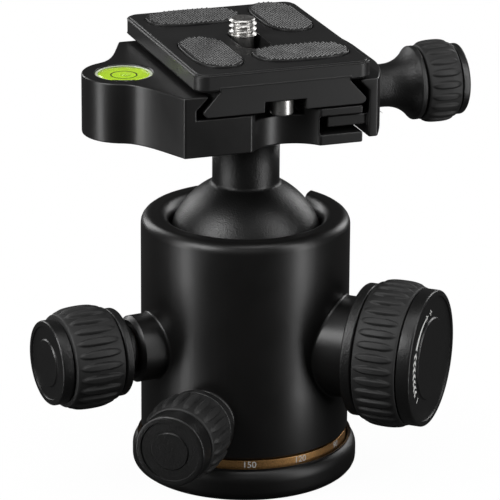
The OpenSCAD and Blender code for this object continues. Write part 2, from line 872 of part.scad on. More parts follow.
module pan_cap() {
    color("#141415")
        knob_axis(pan_angle, pan_z)
            knob_cap(cap_l(pan_l, pan_flange_t, pan_grip_w), pan_cap_t, pan_cap_r, pan_disc_r);
}

// Outline of the clamp's base, seen from above
module clamp_outline() {
    start = [level_u + lobe_r * cos(shoulder), lobe_r * sin(shoulder)];
    corner = [clamp_u0, clamp_half_v];
    side = curve([start, start + lobe_lead * [sin(shoulder), -cos(shoulder)], corner - corner_lead, corner]);
    last = len(side) - 1;
    difference() {
        polygon(concat(arc(level_u, 0, lobe_r, 360 - shoulder, shoulder, 18), [for (i = [1:last]) side[i]],
            [[clamp_u1, clamp_half_v], [clamp_u1, -clamp_half_v]],
            [for (i = [last:-1:1]) [side[i][0], -side[i][1]]]));
        for (s = [-1, 1])
            translate([scoop_u, s * (clamp_half_v + scoop_r - scoop_depth)])
                circle(r = scoop_r, $fn = 96);
    }
}

// Space above the groove floor, under and between the lips
module groove_space() {
    lip_foot = lip_z - lip_edge;
    translate([0, clamp_half_v + cut, 0])
        rotate([90, 0, 0])
            linear_extrude(height = 2 * (clamp_half_v + cut))
                polygon([[groove_u, groove_z], [clamp_u1 + cut, groove_z], [clamp_u1 + cut, lip_z + cut],
                    [lip_u, lip_z + cut], [lip_u, lip_foot], [groove_u, lip_foot - lip_over]]);
}

module clamp_base() {
    color("#18181a")
        clamp_axes()
            difference() {
                translate([0, 0, stem_top])
                    linear_extrude(height = lip_z - stem_top)
                        clamp_outline();
                groove_space();
                translate([-channel_half, -clamp_half_v - cut, channel_z])
                    cube([2 * channel_half, 2 * (clamp_half_v + cut), groove_z - channel_z + cut]);
                for (s = [0, 1])
                    mirror([0, s, 0])
                        translate([slot_u, slot_inner, slot_z0])
                            cube([clamp_u1 - slot_u + cut, clamp_half_v, slot_z1 - slot_z0]);
                rod(stem_screw_r + fit, stem_top - cut, channel_z);
                rod(stem_head_r + fit, channel_z - stem_head_t - loose, channel_z + cut);
                translate([level_u, 0, 0])
                    rod(level_r + fit, vial_floor, lip_z + cut);
                translate([0, 0, clamp_knob_z])
                    rotate([0, 90, 0])
                        rod(clamp_stud_r + fit, stud_seat, clamp_u1 + cut);
            }
}

module stem_screw() {
    head_z = channel_z - stem_head_t - loose;
    color("#9a9c9f")
        clamp_axes() {
            rod(stem_screw_r, stem_top - stem_screw_l + fit, head_z);
            difference() {
                rod(stem_head_r, head_z, head_z + stem_head_t);
                translate([0, 0, head_z + cut])
                    cylinder(r = 0.8 * stem_screw_r, h = stem_head_t, $fn = 6);
            }
        }
}

module level_vial() {
    color("#e8efe0")
        clamp_axes()
            translate([level_u, 0, 0])
                difference() {
                    rod(level_r, vial_floor, vial_top);
                    rod(level_r - vial_wall, vial_floor + vial_wall, vial_top + cut);
                }
}

module level_fluid() {
    color("#c6e02a")
        clamp_axes()
            translate([level_u, 0, 0])
                rod(level_r - vial_wall, vial_floor + vial_wall, vial_top - lens_t);
}

module level_lens() {
    color("#eef4e8")
        clamp_axes()
            translate([level_u, 0, 0])
                edged(level_r - vial_wall, vial_top - lens_t, vial_top + hair, lens_edge);
}

// Half of the jaw's outer outline, from its middle to its end
function jaw_side(s) =
    [for (t = [0:1 / 8:1]) [jaw_mid_u - (jaw_mid_u - jaw_end_u) * pow(t, jaw_sweep),
        s * (jaw_flat + (clamp_half_v - jaw_flat) * t)]];

// Section of the jaw: its hook, its rounded back and its underside
module jaw_section() {
    back_u = jaw_mid_u + cut;
    hook_z = jaw_z1 - lip_edge;
    translate([0, clamp_half_v + cut, 0])
        rotate([90, 0, 0])
            linear_extrude(height = 2 * (clamp_half_v + cut))
                polygon([[jaw_u, jaw_z0], [jaw_mid_u - 2 * lip_edge, jaw_z0], [back_u, jaw_z0 + 4 * lip_edge],
                    [back_u, jaw_z1 - 3 * lip_edge], [jaw_end_u + 3 * lip_edge, jaw_z1],
                    [hook_u + lip_edge, jaw_z1], [hook_u, hook_z], [jaw_u, hook_z - hook_l]]);
}

module clamp_jaw() {
    rear = jaw_side(-1);
    color("#18181a")
        clamp_axes()
            difference() {
                union() {
                    intersection() {
                        translate([0, 0, jaw_z0])
                            linear_extrude(height = jaw_z1 - jaw_z0)
                                polygon(concat([[hook_u - cut, -clamp_half_v]],
                                    [for (i = [len(rear) - 1:-1:0]) rear[i]], jaw_side(1),
                                    [[hook_u - cut, clamp_half_v]]));
                        jaw_section();
                    }
                    for (s = [0, 1])
                        mirror([0, s, 0])
                            translate([tongue_u, tongue_inner, tongue_z0])
                                cube([jaw_u - tongue_u + cut, tongue_outer - tongue_inner, tongue_t]);
                }
                translate([0, 0, clamp_knob_z])
                    rotate([0, 90, 0])
                        rod(clamp_stud_r + 2 * fit, jaw_u - cut, jaw_mid_u + cut);
            }
}

module clamp_stud() {
    color("#9a9c9f")
        clamp_knob_axis()
            rod(clamp_stud_r, stud_seat + 2, cap_l(clamp_l, clamp_flange_t, clamp_grip_w) - cut);
}

module clamp_core() {
    neck_l = jaw_mid_u + hair;
    drum_r = clamp_grip_r * core_drum;
    drum_l = cap_l(clamp_l, clamp_flange_t, clamp_grip_w);
    flange_end = clamp_l + clamp_flange_t;
    rim = edge / 2;
    flare = curve([[clamp_neck_r, clamp_l - clamp_flare_l], [clamp_neck_r, clamp_l - clamp_flare_l / 2],
        [clamp_flange_r - 3 * edge, clamp_l - 2 * edge], [clamp_flange_r - rim, clamp_l]]);
    color("#202022")
        clamp_knob_axis()
            rotate_extrude()
                polygon(concat([[clamp_stud_r, neck_l], [clamp_neck_r, neck_l]], flare,
                    [[clamp_flange_r, clamp_l + rim], [clamp_flange_r, flange_end - rim],
                    [clamp_flange_r - rim, flange_end], [drum_r, flange_end], [drum_r, drum_l],
                    [clamp_stud_r, drum_l]]));
}

module clamp_grip() {
    color("#2a2a2b")
        clamp_knob_axis()
            knob_grip(clamp_l + clamp_flange_t, clamp_grip_w, clamp_grip_r, clamp_rib_r, clamp_ribs);
}

module clamp_cap() {
    color("#141415")
        clamp_knob_axis()
            knob_cap(cap_l(clamp_l, clamp_flange_t, clamp_grip_w), clamp_cap_t, clamp_cap_r, clamp_disc_r);
}

// Slab outline at a given inset from its edges
module slab_outline(inset) {
    u0 = plate_u - slab_half + inset;
    u1 = plate_u + slab_half - inset;
    y0 = inset - plate_front;
    y1 = plate_l - plate_front - inset;
    r = slab_corner - inset;
    polygon(concat(arc(u1 - r, y0 + r, r, -90, 0), arc(u1 - r, y1 - r, r, 0, 90),
        arc(u0 + r, y1 - r, r, 90, 180), arc(u0 + r, y0 + r, r, 180, 270)));
}

// Outlines of the four rubber pads, widened by an amount
module pad_outlines(grow) {
    for (s = [-1, 1]) {
        polygon(blob(pad_u + s * long_pad_at[0], s * long_pad_at[1] - pad_v, long_pad[0] + grow,
            long_pad[1] + grow));
        polygon(blob(pad_u - s * wide_pad_at[0], s * wide_pad_at[1] - pad_v, wide_pad[0] + grow,
            wide_pad[1] + grow));
    }
}

// Points of one side of the dovetail, from its underside up into the slab
function dove_side(s) =
    [[s * (dove_tip - dove_foot), dove_z0], [s * (dove_tip - dove_blunt), dove_tip_z - 4 * dove_blunt],
        [s * dove_tip, dove_tip_z - dove_blunt], [s * (dove_tip - dove_blunt), dove_tip_z + dove_blunt],
        [s * dove_neck, slab_z0], [s * dove_neck, slab_z0 + cut]];

// The plate's slab and dovetail before they are cut
module plate_blank() {
    left = dove_side(-1);
    for (i = [0:slab_steps - 1])
        translate([0, 0, slab_z0 + i * slab_round / slab_steps])
            linear_extrude(height = slab_t - 2 * i * slab_round / slab_steps)
                slab_outline(slab_round * (1 - sin(acos(1 - i / slab_steps))));
    translate([plate_u, plate_l - plate_front, 0])
        rotate([90, 0, 0])
            linear_extrude(height = plate_l)
                polygon(concat(dove_side(1), [for (i = [len(left) - 1:-1:0]) left[i]]));
}

module plate() {
    screw_hole_r = camera_r + loose;
    color("#1a1a1c")
        clamp_axes()
            difference() {
                plate_blank();
                translate([plate_u - recess_half, -plate_front - cut, dove_z0 - cut])
                    cube([2 * recess_half, plate_l + 2 * cut, recess_depth + cut]);
                translate([plate_u, -camera_v, 0]) {
                    rod(camera_head_r + loose, dove_z0 - cut, recess_z);
                    rod(clip_r + loose, recess_z - cut, clip_z + clip_t + hair);
                }
                translate([plate_u, 0, recess_z - cut])
                    linear_extrude(height = slab_z1 - recess_z + 2 * cut) {
                        for (v = [camera_v, screw_slot_v])
                            translate([0, -v])
                                circle(r = screw_hole_r);
                        translate([-screw_hole_r, -screw_slot_v])
                            square([2 * screw_hole_r, screw_slot_v - camera_v]);
                    }
                translate([0, 0, slab_z1 - pad_pocket])
                    linear_extrude(height = pad_pocket + cut)
                        pad_outlines(loose / 2);
                for (y = [stop_inset, plate_l - stop_inset])
                    translate([plate_u, y - plate_front, 0])
                        rod(stop_shank_r + fit, recess_z - cut, recess_z + stop_shank_l);
            }
}

module plate_pads() {
    color("#303032")
        clamp_axes()
            translate([0, 0, slab_z1 - pad_pocket])
                linear_extrude(height = pad_pocket + pad_h)
                    pad_outlines(0);
}

module stop_screws() {
    color("#b9bbbe")
        clamp_axes()
            for (y = [stop_inset, plate_l - stop_inset])
                translate([plate_u, y - plate_front, dove_z0 - stop_h])
                    difference() {
                        union() {
                            edged(stop_r, 0, stop_h + recess_depth, loose);
                            rod(stop_shank_r, stop_h, stop_h + recess_depth + stop_shank_l - hair);
                        }
                        translate([-stop_r - cut, -stop_slot / 2, -cut])
                            cube([2 * (stop_r + cut), stop_slot, cut + stop_slot]);
                    }
}

module camera_screw() {
    tip = slab_z1 + camera_h;
    color("#b9bbbe")
        clamp_axes()
            translate([plate_u, -camera_v, 0])
                difference() {
                    union() {
                        edged(camera_head_r, camera_head_z, recess_z - hair, loose);
                        rod(camera_neck_r, camera_head_z + cut, tip - cut);
                        rod(camera_r, slab_z1 + hair, tip - camera_lead);
                        translate([0, 0, tip - camera_lead])
                            cylinder(r1 = camera_r, r2 = camera_r - camera_lead, h = camera_lead);
                    }
                    translate([-camera_head_r - cut, -stop_slot, camera_head_z - cut])
                        cube([2 * (camera_head_r + cut), 2 * stop_slot, cut + stop_slot]);
                }
}

module screw_clip() {
    color("#9a9c9f")
        clamp_axes()
            translate([plate_u, -camera_v, 0])
                difference() {
                    tube(clip_r, clip_z, clip_z + clip_t, camera_neck_r + fit);
                    translate([-clip_r - cut, -clip_slot / 2, clip_z - cut])
                        cube([clip_r, clip_slot, clip_t + 2 * cut]);
                }
}

base_flange();
scale_ring();
pan_spindle();
spindle_screws();
thrust_washer();
spindle_retainer();
retainer_screw();
housing();
pan_bearing();
spring_plate();
seat_spring();
main_bushing();
friction_bushing();
pan_bushing();
ball_seat();
main_pin();
friction_plug();
pan_shoe();
ball_and_stem();
main_stud();
main_core();
main_grip();
main_cap();
friction_stud();
friction_core();
friction_grip();
friction_cap();
pan_stud();
pan_core();
pan_grip();
pan_cap();
clamp_base();
stem_screw();
level_vial();
level_fluid();
level_lens();
clamp_jaw();
clamp_stud();
clamp_core();
clamp_grip();
clamp_cap();
plate();
plate_pads();
stop_screws();
camera_screw();
screw_clip();
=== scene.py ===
"""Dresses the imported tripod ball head: finishes, fine detail, camera and studio.

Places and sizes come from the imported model: each knob, the level and the plate are measured from
their own nodes and joints. Lengths are in millimetres, and the studio's are in metres.
"""

import json
import logging
import math
from dataclasses import dataclass
from enum import Enum
from typing import Callable, Iterable, Sequence

import bpy
from mathutils import Matrix, Vector


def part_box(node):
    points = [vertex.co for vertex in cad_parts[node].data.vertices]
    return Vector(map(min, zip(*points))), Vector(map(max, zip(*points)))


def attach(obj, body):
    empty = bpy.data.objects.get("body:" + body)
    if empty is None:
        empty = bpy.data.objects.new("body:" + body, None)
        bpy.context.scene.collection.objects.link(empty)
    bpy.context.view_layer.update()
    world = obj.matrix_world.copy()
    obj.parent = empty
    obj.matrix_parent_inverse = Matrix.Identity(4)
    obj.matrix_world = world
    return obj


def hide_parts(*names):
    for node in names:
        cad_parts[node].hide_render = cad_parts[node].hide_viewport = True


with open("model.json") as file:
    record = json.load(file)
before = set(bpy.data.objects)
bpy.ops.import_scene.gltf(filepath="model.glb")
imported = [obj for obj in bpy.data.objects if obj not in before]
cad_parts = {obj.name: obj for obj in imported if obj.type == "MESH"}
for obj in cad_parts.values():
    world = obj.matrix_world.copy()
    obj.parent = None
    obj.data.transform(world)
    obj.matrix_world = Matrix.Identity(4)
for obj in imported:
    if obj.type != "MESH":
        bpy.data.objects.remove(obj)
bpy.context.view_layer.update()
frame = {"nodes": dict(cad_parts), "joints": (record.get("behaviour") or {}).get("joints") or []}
LOG = logging.getLogger("ball_head")
MM = 0.001
TOUCH = 0.01  # mm within which a point counts as lying on a plane or a radius
GRID = 1000  # steps per mm to which corners are rounded before they are matched
OCTAVE_SHARE = 0.55  # strength of each octave of a noise pattern against the one before
MIX_FACTOR, MIX_FIRST, MIX_SECOND, MIX_RESULT = 0, 6, 7, 2  # sockets of a colour mix
WELD = 1e-6  # metres within which a node's points are merged
FLAT = 1.0  # degrees within which neighbouring faces count as one flat face
NORMAL_WEIGHT = 60  # how far large faces lead the shading beside a rounded edge
BEND = 0.3  # distance of a rounding's middle point from its corner's sides, as a share of its size

Color = tuple[float, float, float]
Pair = tuple[float, float]
Point = Sequence[float]
Socket = bpy.types.NodeSocket


class Side(Enum):
    """The four knobs, named as their nodes and bodies are."""

    MAIN = "main"
    FRICTION = "friction"
    PAN = "pan"
    CLAMP = "clamp"


# ---------------------------------------------------------------- measures


@dataclass(frozen=True)
class Span:
    """Extent of a node along an axis and around it, in mm.

    Attributes:
        near: lowest place along the axis.
        far: highest place along the axis.
        radius: greatest distance from the axis.
        end_radius: greatest distance from the axis beside the near end.
    """

    near: float
    far: float
    radius: float
    end_radius: float


@dataclass(frozen=True)
class Axis:
    """Axes of a turning piece: local Z runs along its joint's axis.

    Attributes:
        place: matrix from the local axes to the frame, in mm.
    """

    place: Matrix

    @classmethod
    def of_joint(cls, name: str) -> "Axis":
        """Finds the axes of a joint.

        Args:
            name: the joint's name.

        Returns:
            Its axes, with local X down where the joint's axis is level.
        """
        joint = next(j for j in frame["joints"] if j["name"] == name)
        z = Vector(joint["axis"])
        upright = abs(z.z) > 0.9
        x = Vector((1, 0, 0)) if upright else Vector((0, 0, -1))
        turn = Matrix((x, z.cross(x), z)).transposed().to_4x4()
        return cls(Matrix.Translation(Vector(joint["pos_m"]) / MM) @ turn)

    def points(self, node: str) -> list[Vector]:
        """Returns a node's points in these axes, in mm."""
        back = self.place.inverted()
        return [back @ (v.co / MM) for v in frame["nodes"][node].data.vertices]

    def span(self, node: str, end: float = 0.35) -> Span:
        """Measures a node.

        Args:
            node: the node's name.
            end: depth of the stretch that counts as the near end.

        Returns:
            Its extent along and around the axis.
        """
        points = self.points(node)
        near = min(p.z for p in points)
        return Span(
            near,
            max(p.z for p in points),
            max(math.hypot(p.x, p.y) for p in points),
            max(math.hypot(p.x, p.y) for p in points if p.z < near + end),
        )


def islands(points: Sequence[Vector], polygons: Iterable[Sequence[int]]) -> list[list[Vector]]:
    """Splits a mesh into its separate solids.

    Args:
        points: the mesh's points.
        polygons: the corners of its faces.

    Returns:
        The points of each solid.
    """
    first: dict[tuple[int, ...], int] = {}
    same = [first.setdefault(tuple(round(c * GRID) for c in p), i) for i, p in enumerate(points)]
    root = list(range(len(points)))

    def top(i: int) -> int:
        """Finds the point that stands for a whole solid.

        Args:
            i: one of the solid's points.

        Returns:
            The point that stands for it.
        """
        while root[i] != i:
            root[i] = root[root[i]]
            i = root[i]
        return i

    for corners in polygons:
        for corner in corners[1:]:
            root[top(same[corner])] = top(same[corners[0]])
    groups: dict[int, list[Vector]] = {}
    for i, point in enumerate(points):
        groups.setdefault(top(same[i]), []).append(point)
    return [groups[key] for key in sorted(groups)]


# ---------------------------------------------------------------- finishes


class NodeSheet:
    """A material's node tree with short calls to add and join nodes."""

    def __init__(self, name: str) -> None:
        """Starts an empty material.

        Args:
            name: the material's name.
        """
        self.material = bpy.data.materials.new(name)
        self.material.use_nodes = True
        self.tree = self.material.node_tree
        self.tree.nodes.clear()
        self.out = self.add("ShaderNodeOutputMaterial")
        self.coords = self.add("ShaderNodeTexCoord")

    def add(self, kind: str, **values: object) -> bpy.types.Node:
        """Adds a node.

        Args:
            kind: the node's type name.
            values: attributes of the node, or values of its input sockets.

        Returns:
            The new node.
        """
        node = self.tree.nodes.new(kind)
        for key, value in values.items():
            if key in node.inputs:
                node.inputs[key].default_value = value
            else:
                setattr(node, key, value)
        return node

    def join(self, source: Socket, target: Socket) -> None:
        """Joins an output socket to an input socket."""
        self.tree.links.new(source, target)

    def noise(self, size: float, detail: float = 2.0, stretch: Point = (1, 1, 1)) -> Socket:
        """Adds a noise pattern.

        Args:
            size: the width of one blotch or grain, in mm.
            detail: number of octaves.
            stretch: scale along X, Y and Z.

        Returns:
            The pattern's value socket.
        """
        mapping = self.add("ShaderNodeMapping", Scale=stretch)
        self.join(self.coords.outputs["Object"], mapping.inputs["Vector"])
        noise = self.add("ShaderNodeTexNoise", Scale=1 / MM / size, Detail=detail)
        noise.inputs["Roughness"].default_value = OCTAVE_SHARE
        self.join(mapping.outputs["Vector"], noise.inputs["Vector"])
        return noise.outputs["Fac"]

    def span(self, source: Socket, to: Pair, used: Pair = (0.3, 0.7)) -> Socket:
        """Spreads a pattern between two values.

        Args:
            source: the pattern.
            to: values at the lower and the upper end of what is used.
            used: lower and upper end of the pattern that is used.

        Returns:
            The spread value's socket.
        """
        node = self.add("ShaderNodeMapRange")
        for name, value in zip(("From Min", "From Max", "To Min", "To Max"), (*used, *to)):
            node.inputs[name].default_value = value
        self.join(source, node.inputs["Value"])
        return node.outputs["Result"]

    def bump(self, height: Socket, depth: float) -> Socket:
        """Turns a pattern into relief.

        Args:
            height: the pattern.
            depth: depth of the relief, in mm.

        Returns:
            The normal socket.
        """
        node = self.add("ShaderNodeBump", Strength=1.0, Distance=depth * MM)
        self.join(height, node.inputs["Height"])
        return node.outputs["Normal"]

    def mix(self, factor: Socket, first: Color, second: Color) -> Socket:
        """Mixes two colours by a pattern.

        Args:
            factor: the pattern.
            first: colour at 0.
            second: colour at 1.

        Returns:
            The colour socket.
        """
        node = self.add("ShaderNodeMix", data_type="RGBA")
        node.inputs[MIX_FIRST].default_value = (*first, 1)
        node.inputs[MIX_SECOND].default_value = (*second, 1)
        self.join(factor, node.inputs[MIX_FACTOR])
        return node.outputs[MIX_RESULT]

    def blend(self, factor: Socket, first: bpy.types.Node, second: bpy.types.Node) -> bpy.types.Node:
        """Blends two shaders.

        Args:
            factor: the share of the second.
            first: shader at 0.
            second: shader at 1.

        Returns:
            The blending node.
        """
        node = self.add("ShaderNodeMixShader")
        self.join(factor, node.inputs[0])
        self.join(first.outputs[0], node.inputs[1])
        self.join(second.outputs[0], node.inputs[2])
        return node

    def surface(self, shader: bpy.types.Node) -> bpy.types.Material:
        """Joins the shader to the output and returns the material."""
        self.join(shader.outputs[0], self.out.inputs["Surface"])
        return self.material


def shade(color: Color, factor: float) -> Color:
    """Returns a colour made lighter or darker by a factor."""
    return tuple(min(1.0, c * factor) for c in color)


@dataclass(frozen=True)
class Blasted:
    """Alloy with the fine grain of bead blasting, anodised or bare.

    Attributes:
        name: the material's name.
        color: base colour.
        roughness: mean roughness.
        grain: width of one grain, in mm.
        depth: depth of the grain, in mm.
        metallic: 1 for bare metal.
        painted_sparkle: how much lighter and darker single grains are; random grain tone that also
            paints glints, lighter on the grains' tops and darker in their dips.
        blotch: width of the blotches of uneven sheen, in mm.
        uneven: how far the roughness drifts either way.
    """

    name: str
    color: Color
    roughness: float
    grain: float
    depth: float
    metallic: float = 0.0
    painted_sparkle: float = 0.2
    blotch: float = 14.0
    uneven: float = 0.04

    def build(self) -> bpy.types.Material:
        """Returns the material."""
        sheet = NodeSheet(self.name)
        shader = sheet.add("ShaderNodeBsdfPrincipled", Metallic=self.metallic)
        drift = sheet.noise(self.blotch, detail=3.0)
        grain = sheet.noise(self.grain)
        rough = sheet.span(drift, (self.roughness - self.uneven, self.roughness + self.uneven))
        sheet.join(rough, shader.inputs["Roughness"])
        # painted glints: each grain's colour runs from darker in its dips to lighter on its top, as
        # its relief does; partly random grain tone
        dark = shade(self.color, 1 - self.painted_sparkle)
        light = shade(self.color, 1 + self.painted_sparkle)
        tint = sheet.mix(sheet.span(grain, (0.0, 1.0)), dark, light)
        sheet.join(tint, shader.inputs["Base Color"])
        sheet.join(sheet.bump(grain, self.depth), shader.inputs["Normal"])
        return sheet.surface(shader)


@dataclass(frozen=True)
class Turned:
    """Bright steel with fine turning marks.

    Attributes:
        name: the material's name.
        color: base colour.
        roughness: mean roughness.
        spread: lowest and highest change of the roughness.
        stretch: scale of the marks along X, Y and Z.
        mark: width of one turning mark, in mm.
        depth: depth of the marks, in mm.
        blotch: width of the darker blotches, in mm.
        tarnish: brightness of the blotches against the clean metal.
    """

    name: str
    color: Color = (0.62, 0.62, 0.63)
    roughness: float = 0.24
    spread: Pair = (-0.07, 0.1)
    stretch: Point = (0.2, 0.2, 1.0)
    mark: float = 0.12
    depth: float = 0.003
    blotch: float = 3.0
    tarnish: float = 0.8

    def build(self) -> bpy.types.Material:
        """Returns the material."""
        sheet = NodeSheet(self.name)
        shader = sheet.add("ShaderNodeBsdfPrincipled", Metallic=1.0)
        marks = sheet.noise(self.mark, detail=3.0, stretch=self.stretch)
        low, high = self.spread
        rough = sheet.span(marks, (self.roughness + low, self.roughness + high))
        sheet.join(rough, shader.inputs["Roughness"])
        tint = sheet.mix(sheet.noise(self.blotch), shade(self.color, self.tarnish), self.color)
        sheet.join(tint, shader.inputs["Base Color"])
        sheet.join(sheet.bump(marks, self.depth), shader.inputs["Normal"])
        return sheet.surface(shader)


@dataclass(frozen=True)
class Rubber:
    """Matt moulded rubber with a skin texture and a little dust.

    Attributes:
        name: the material's name.
        color: base colour.
        roughness: mean roughness.
        skin: width of the skin texture, in mm.
        depth: depth of the skin texture, in mm.
        spread: lowest and highest change of the roughness.
        speck: width of the dust's blotches, in mm.
        dusty: brightness of the dust against the clean rubber.
    """

    name: str
    color: Color
    roughness: float = 0.6
    skin: float = 0.35
    depth: float = 0.012
    spread: Pair = (-0.06, 0.08)
    speck: float = 5.0
    dusty: float = 1.5

    def build(self) -> bpy.types.Material:
        """Returns the material."""
        sheet = NodeSheet(self.name)
        shader = sheet.add("ShaderNodeBsdfPrincipled")
        dust = sheet.noise(self.speck, detail=5.0)
        tint = sheet.mix(sheet.span(dust, (0.0, 1.0)), self.color, shade(self.color, self.dusty))
        sheet.join(tint, shader.inputs["Base Color"])
        low, high = self.spread
        rough = sheet.span(dust, (self.roughness + low, self.roughness + high))
        sheet.join(rough, shader.inputs["Roughness"])
        skin = sheet.noise(self.skin, detail=4.0)
        sheet.join(sheet.bump(skin, self.depth), shader.inputs["Normal"])
        return sheet.surface(shader)


@dataclass(frozen=True)
class Paint:
    """Printed or filled marks.

    Attributes:
        name: the material's name.
        color: base colour.
        patch: width of the worn patches, in mm.
        faded: brightness of the worn patches against the fresh paint.
        roughness: lowest and highest roughness.
    """

    name: str
    color: Color
    patch: float = 0.5
    faded: float = 0.72
    roughness: Pair = (0.45, 0.65)

    def build(self) -> bpy.types.Material:
        """Returns the material."""
        sheet = NodeSheet(self.name)
        shader = sheet.add("ShaderNodeBsdfPrincipled")
        worn = sheet.noise(self.patch, detail=3.0)
        tint = sheet.mix(sheet.span(worn, (0.0, 1.0)), shade(self.color, self.faded), self.color)
        sheet.join(tint, shader.inputs["Base Color"])
        sheet.join(sheet.span(worn, self.roughness), shader.inputs["Roughness"])
        return sheet.surface(shader)


@dataclass(frozen=True)
class Fluid:
    """Tinted fluid of the spirit level, with a painted glow: it gives off light of its own colour,
    though it is no lamp, in place of the light that enters the vial.

    Attributes:
        name: the material's name.
        color: base colour.
        glow: strength of the painted glow that the fluid gives off.
        roughness: its roughness.
        swirl: width of the deeper tinted stretches, in mm.
        deep: brightness of those stretches against the rest.
    """

    name: str
    color: Color
    glow: float
    roughness: float = 0.12
    swirl: float = 6.0
    deep: float = 0.82

    def build(self) -> bpy.types.Material:
        """Returns the material."""
        sheet = NodeSheet(self.name)
        shader = sheet.add("ShaderNodeBsdfPrincipled", Roughness=self.roughness)
        # painted glow: the fluid gives off light of its own colour, though it is no lamp
        shader.inputs["Emission Strength"].default_value = self.glow
        shader.inputs["Emission Color"].default_value = (*self.color, 1)
        depth = sheet.span(sheet.noise(self.swirl), (0.0, 1.0))
        tint = sheet.mix(depth, shade(self.color, self.deep), self.color)
        sheet.join(tint, shader.inputs["Base Color"])
        return sheet.surface(shader)


@dataclass(frozen=True)
class Clear:
    """Clear moulded plastic.

    Attributes:
        name: the material's name.
        color: tint.
        passing: share of the light that passes through.
        roughness: its roughness.
        ior: index of refraction.
        haze: width of the faint waves that moulding leaves, in mm.
        depth: depth of the waves, in mm.
        cloudy: brightness in the waves' dips against their tops.
    """

    name: str
    color: Color = (0.97, 0.98, 0.95)
    passing: float = 1.0
    roughness: float = 0.04
    ior: float = 1.45
    haze: float = 2.5
    depth: float = 0.004
    cloudy: float = 0.96

    def build(self) -> bpy.types.Material:
        """Returns the material."""
        sheet = NodeSheet(self.name)
        shader = sheet.add("ShaderNodeBsdfPrincipled", Roughness=self.roughness, IOR=self.ior)
        shader.inputs["Transmission Weight"].default_value = self.passing
        haze = sheet.noise(self.haze)
        tint = sheet.mix(haze, shade(self.color, self.cloudy), self.color)
        sheet.join(tint, shader.inputs["Base Color"])
        sheet.join(sheet.bump(haze, self.depth), shader.inputs["Normal"])
        return sheet.surface(shader)


FINISHES = {
    "body": Blasted("body_black", (0.0045, 0.0043, 0.0042), 0.36, 0.20, 0.0025),
    "flange": Blasted("flange_black", (0.0050, 0.0048, 0.0047), 0.40, 0.20, 0.003),
    "ball": Blasted("ball_black", (0.0050, 0.0050, 0.0050), 0.36, 0.34, 0.09),
    "clamp": Blasted("clamp_black", (0.0070, 0.0068, 0.0068), 0.34, 0.16, 0.002),
    "plate": Blasted("plate_black", (0.0090, 0.0090, 0.0090), 0.45, 0.16, 0.004),
    "knob": Blasted("knob_black", (0.0060, 0.0060, 0.0060), 0.40, 0.34, 0.09),
    "cap": Blasted("cap_black", (0.0055, 0.0055, 0.0055), 0.34, 0.34, 0.05),
    "bronze": Blasted("ring_bronze", (0.56, 0.31, 0.12), 0.42, 0.20, 0.014, 0.9, 0.35),
    "alloy": Blasted("machined_alloy", (0.45, 0.46, 0.47), 0.35, 0.2, 0.004, 1.0),
    "brass": Blasted("turned_brass", (0.62, 0.44, 0.18), 0.3, 0.2, 0.003, 1.0),
    "steel": Turned("bright_steel"),
    "screw": Turned("screw_steel", (0.66, 0.65, 0.63), 0.34),
    "grip": Rubber("grip_rubber", (0.0085, 0.0085, 0.0085)),
    "pad": Rubber("pad_rubber", (0.0110, 0.0110, 0.0110), 0.42),
    "nylon": Rubber("white_nylon", (0.75, 0.74, 0.70), 0.5),
    "white": Paint("white_marks", (0.80, 0.80, 0.78)),
    "mark_black": Paint("black_marks", (0.02, 0.02, 0.01)),
    # the fluid's last number is the strength of its painted glow
    "fluid": Fluid("level_fluid", (0.60, 0.78, 0.07), 0.5),
    "vial": Clear("level_vial_clear", (0.86, 0.90, 0.78), 0.35),
    "clear": Clear("level_clear"),
}
MATERIALS: dict[str, bpy.types.Material] = {}


def finish(key: str) -> bpy.types.Material:
    """Gives a finish's material, built on first use.

    Args:
        key: the finish's key.

    Returns:
        The material.
    """
    if key not in MATERIALS:
        MATERIALS[key] = FINISHES[key].build()
    return MATERIALS[key]


# ---------------------------------------------------------------- shapes


def quarter(steps: int) -> list[float]:
    """Returns the angles of a quarter turn's points, in radians."""
    return [math.pi / 2 * i / steps for i in range(steps + 1)]


def tube_faces(copies: int, count: int, flip: bool = False) -> list[tuple[int, ...]]:
    """Joins copies of a closed outline into a ring.

    Args:
        copies: number of copies.
        count: points in one copy.
        flip: whether the faces look the other way.

    Returns:
        The corner lists of its faces.
    """
    faces = []
    for i in range(copies):
        start, after = i * count, (i + 1) % copies * count
        for j in range(count):
            k = (j + 1) % count
            face = (start + j, after + j, after + k, start + k)
            faces.append((face[0], *face[:0:-1]) if flip else face)
    return faces


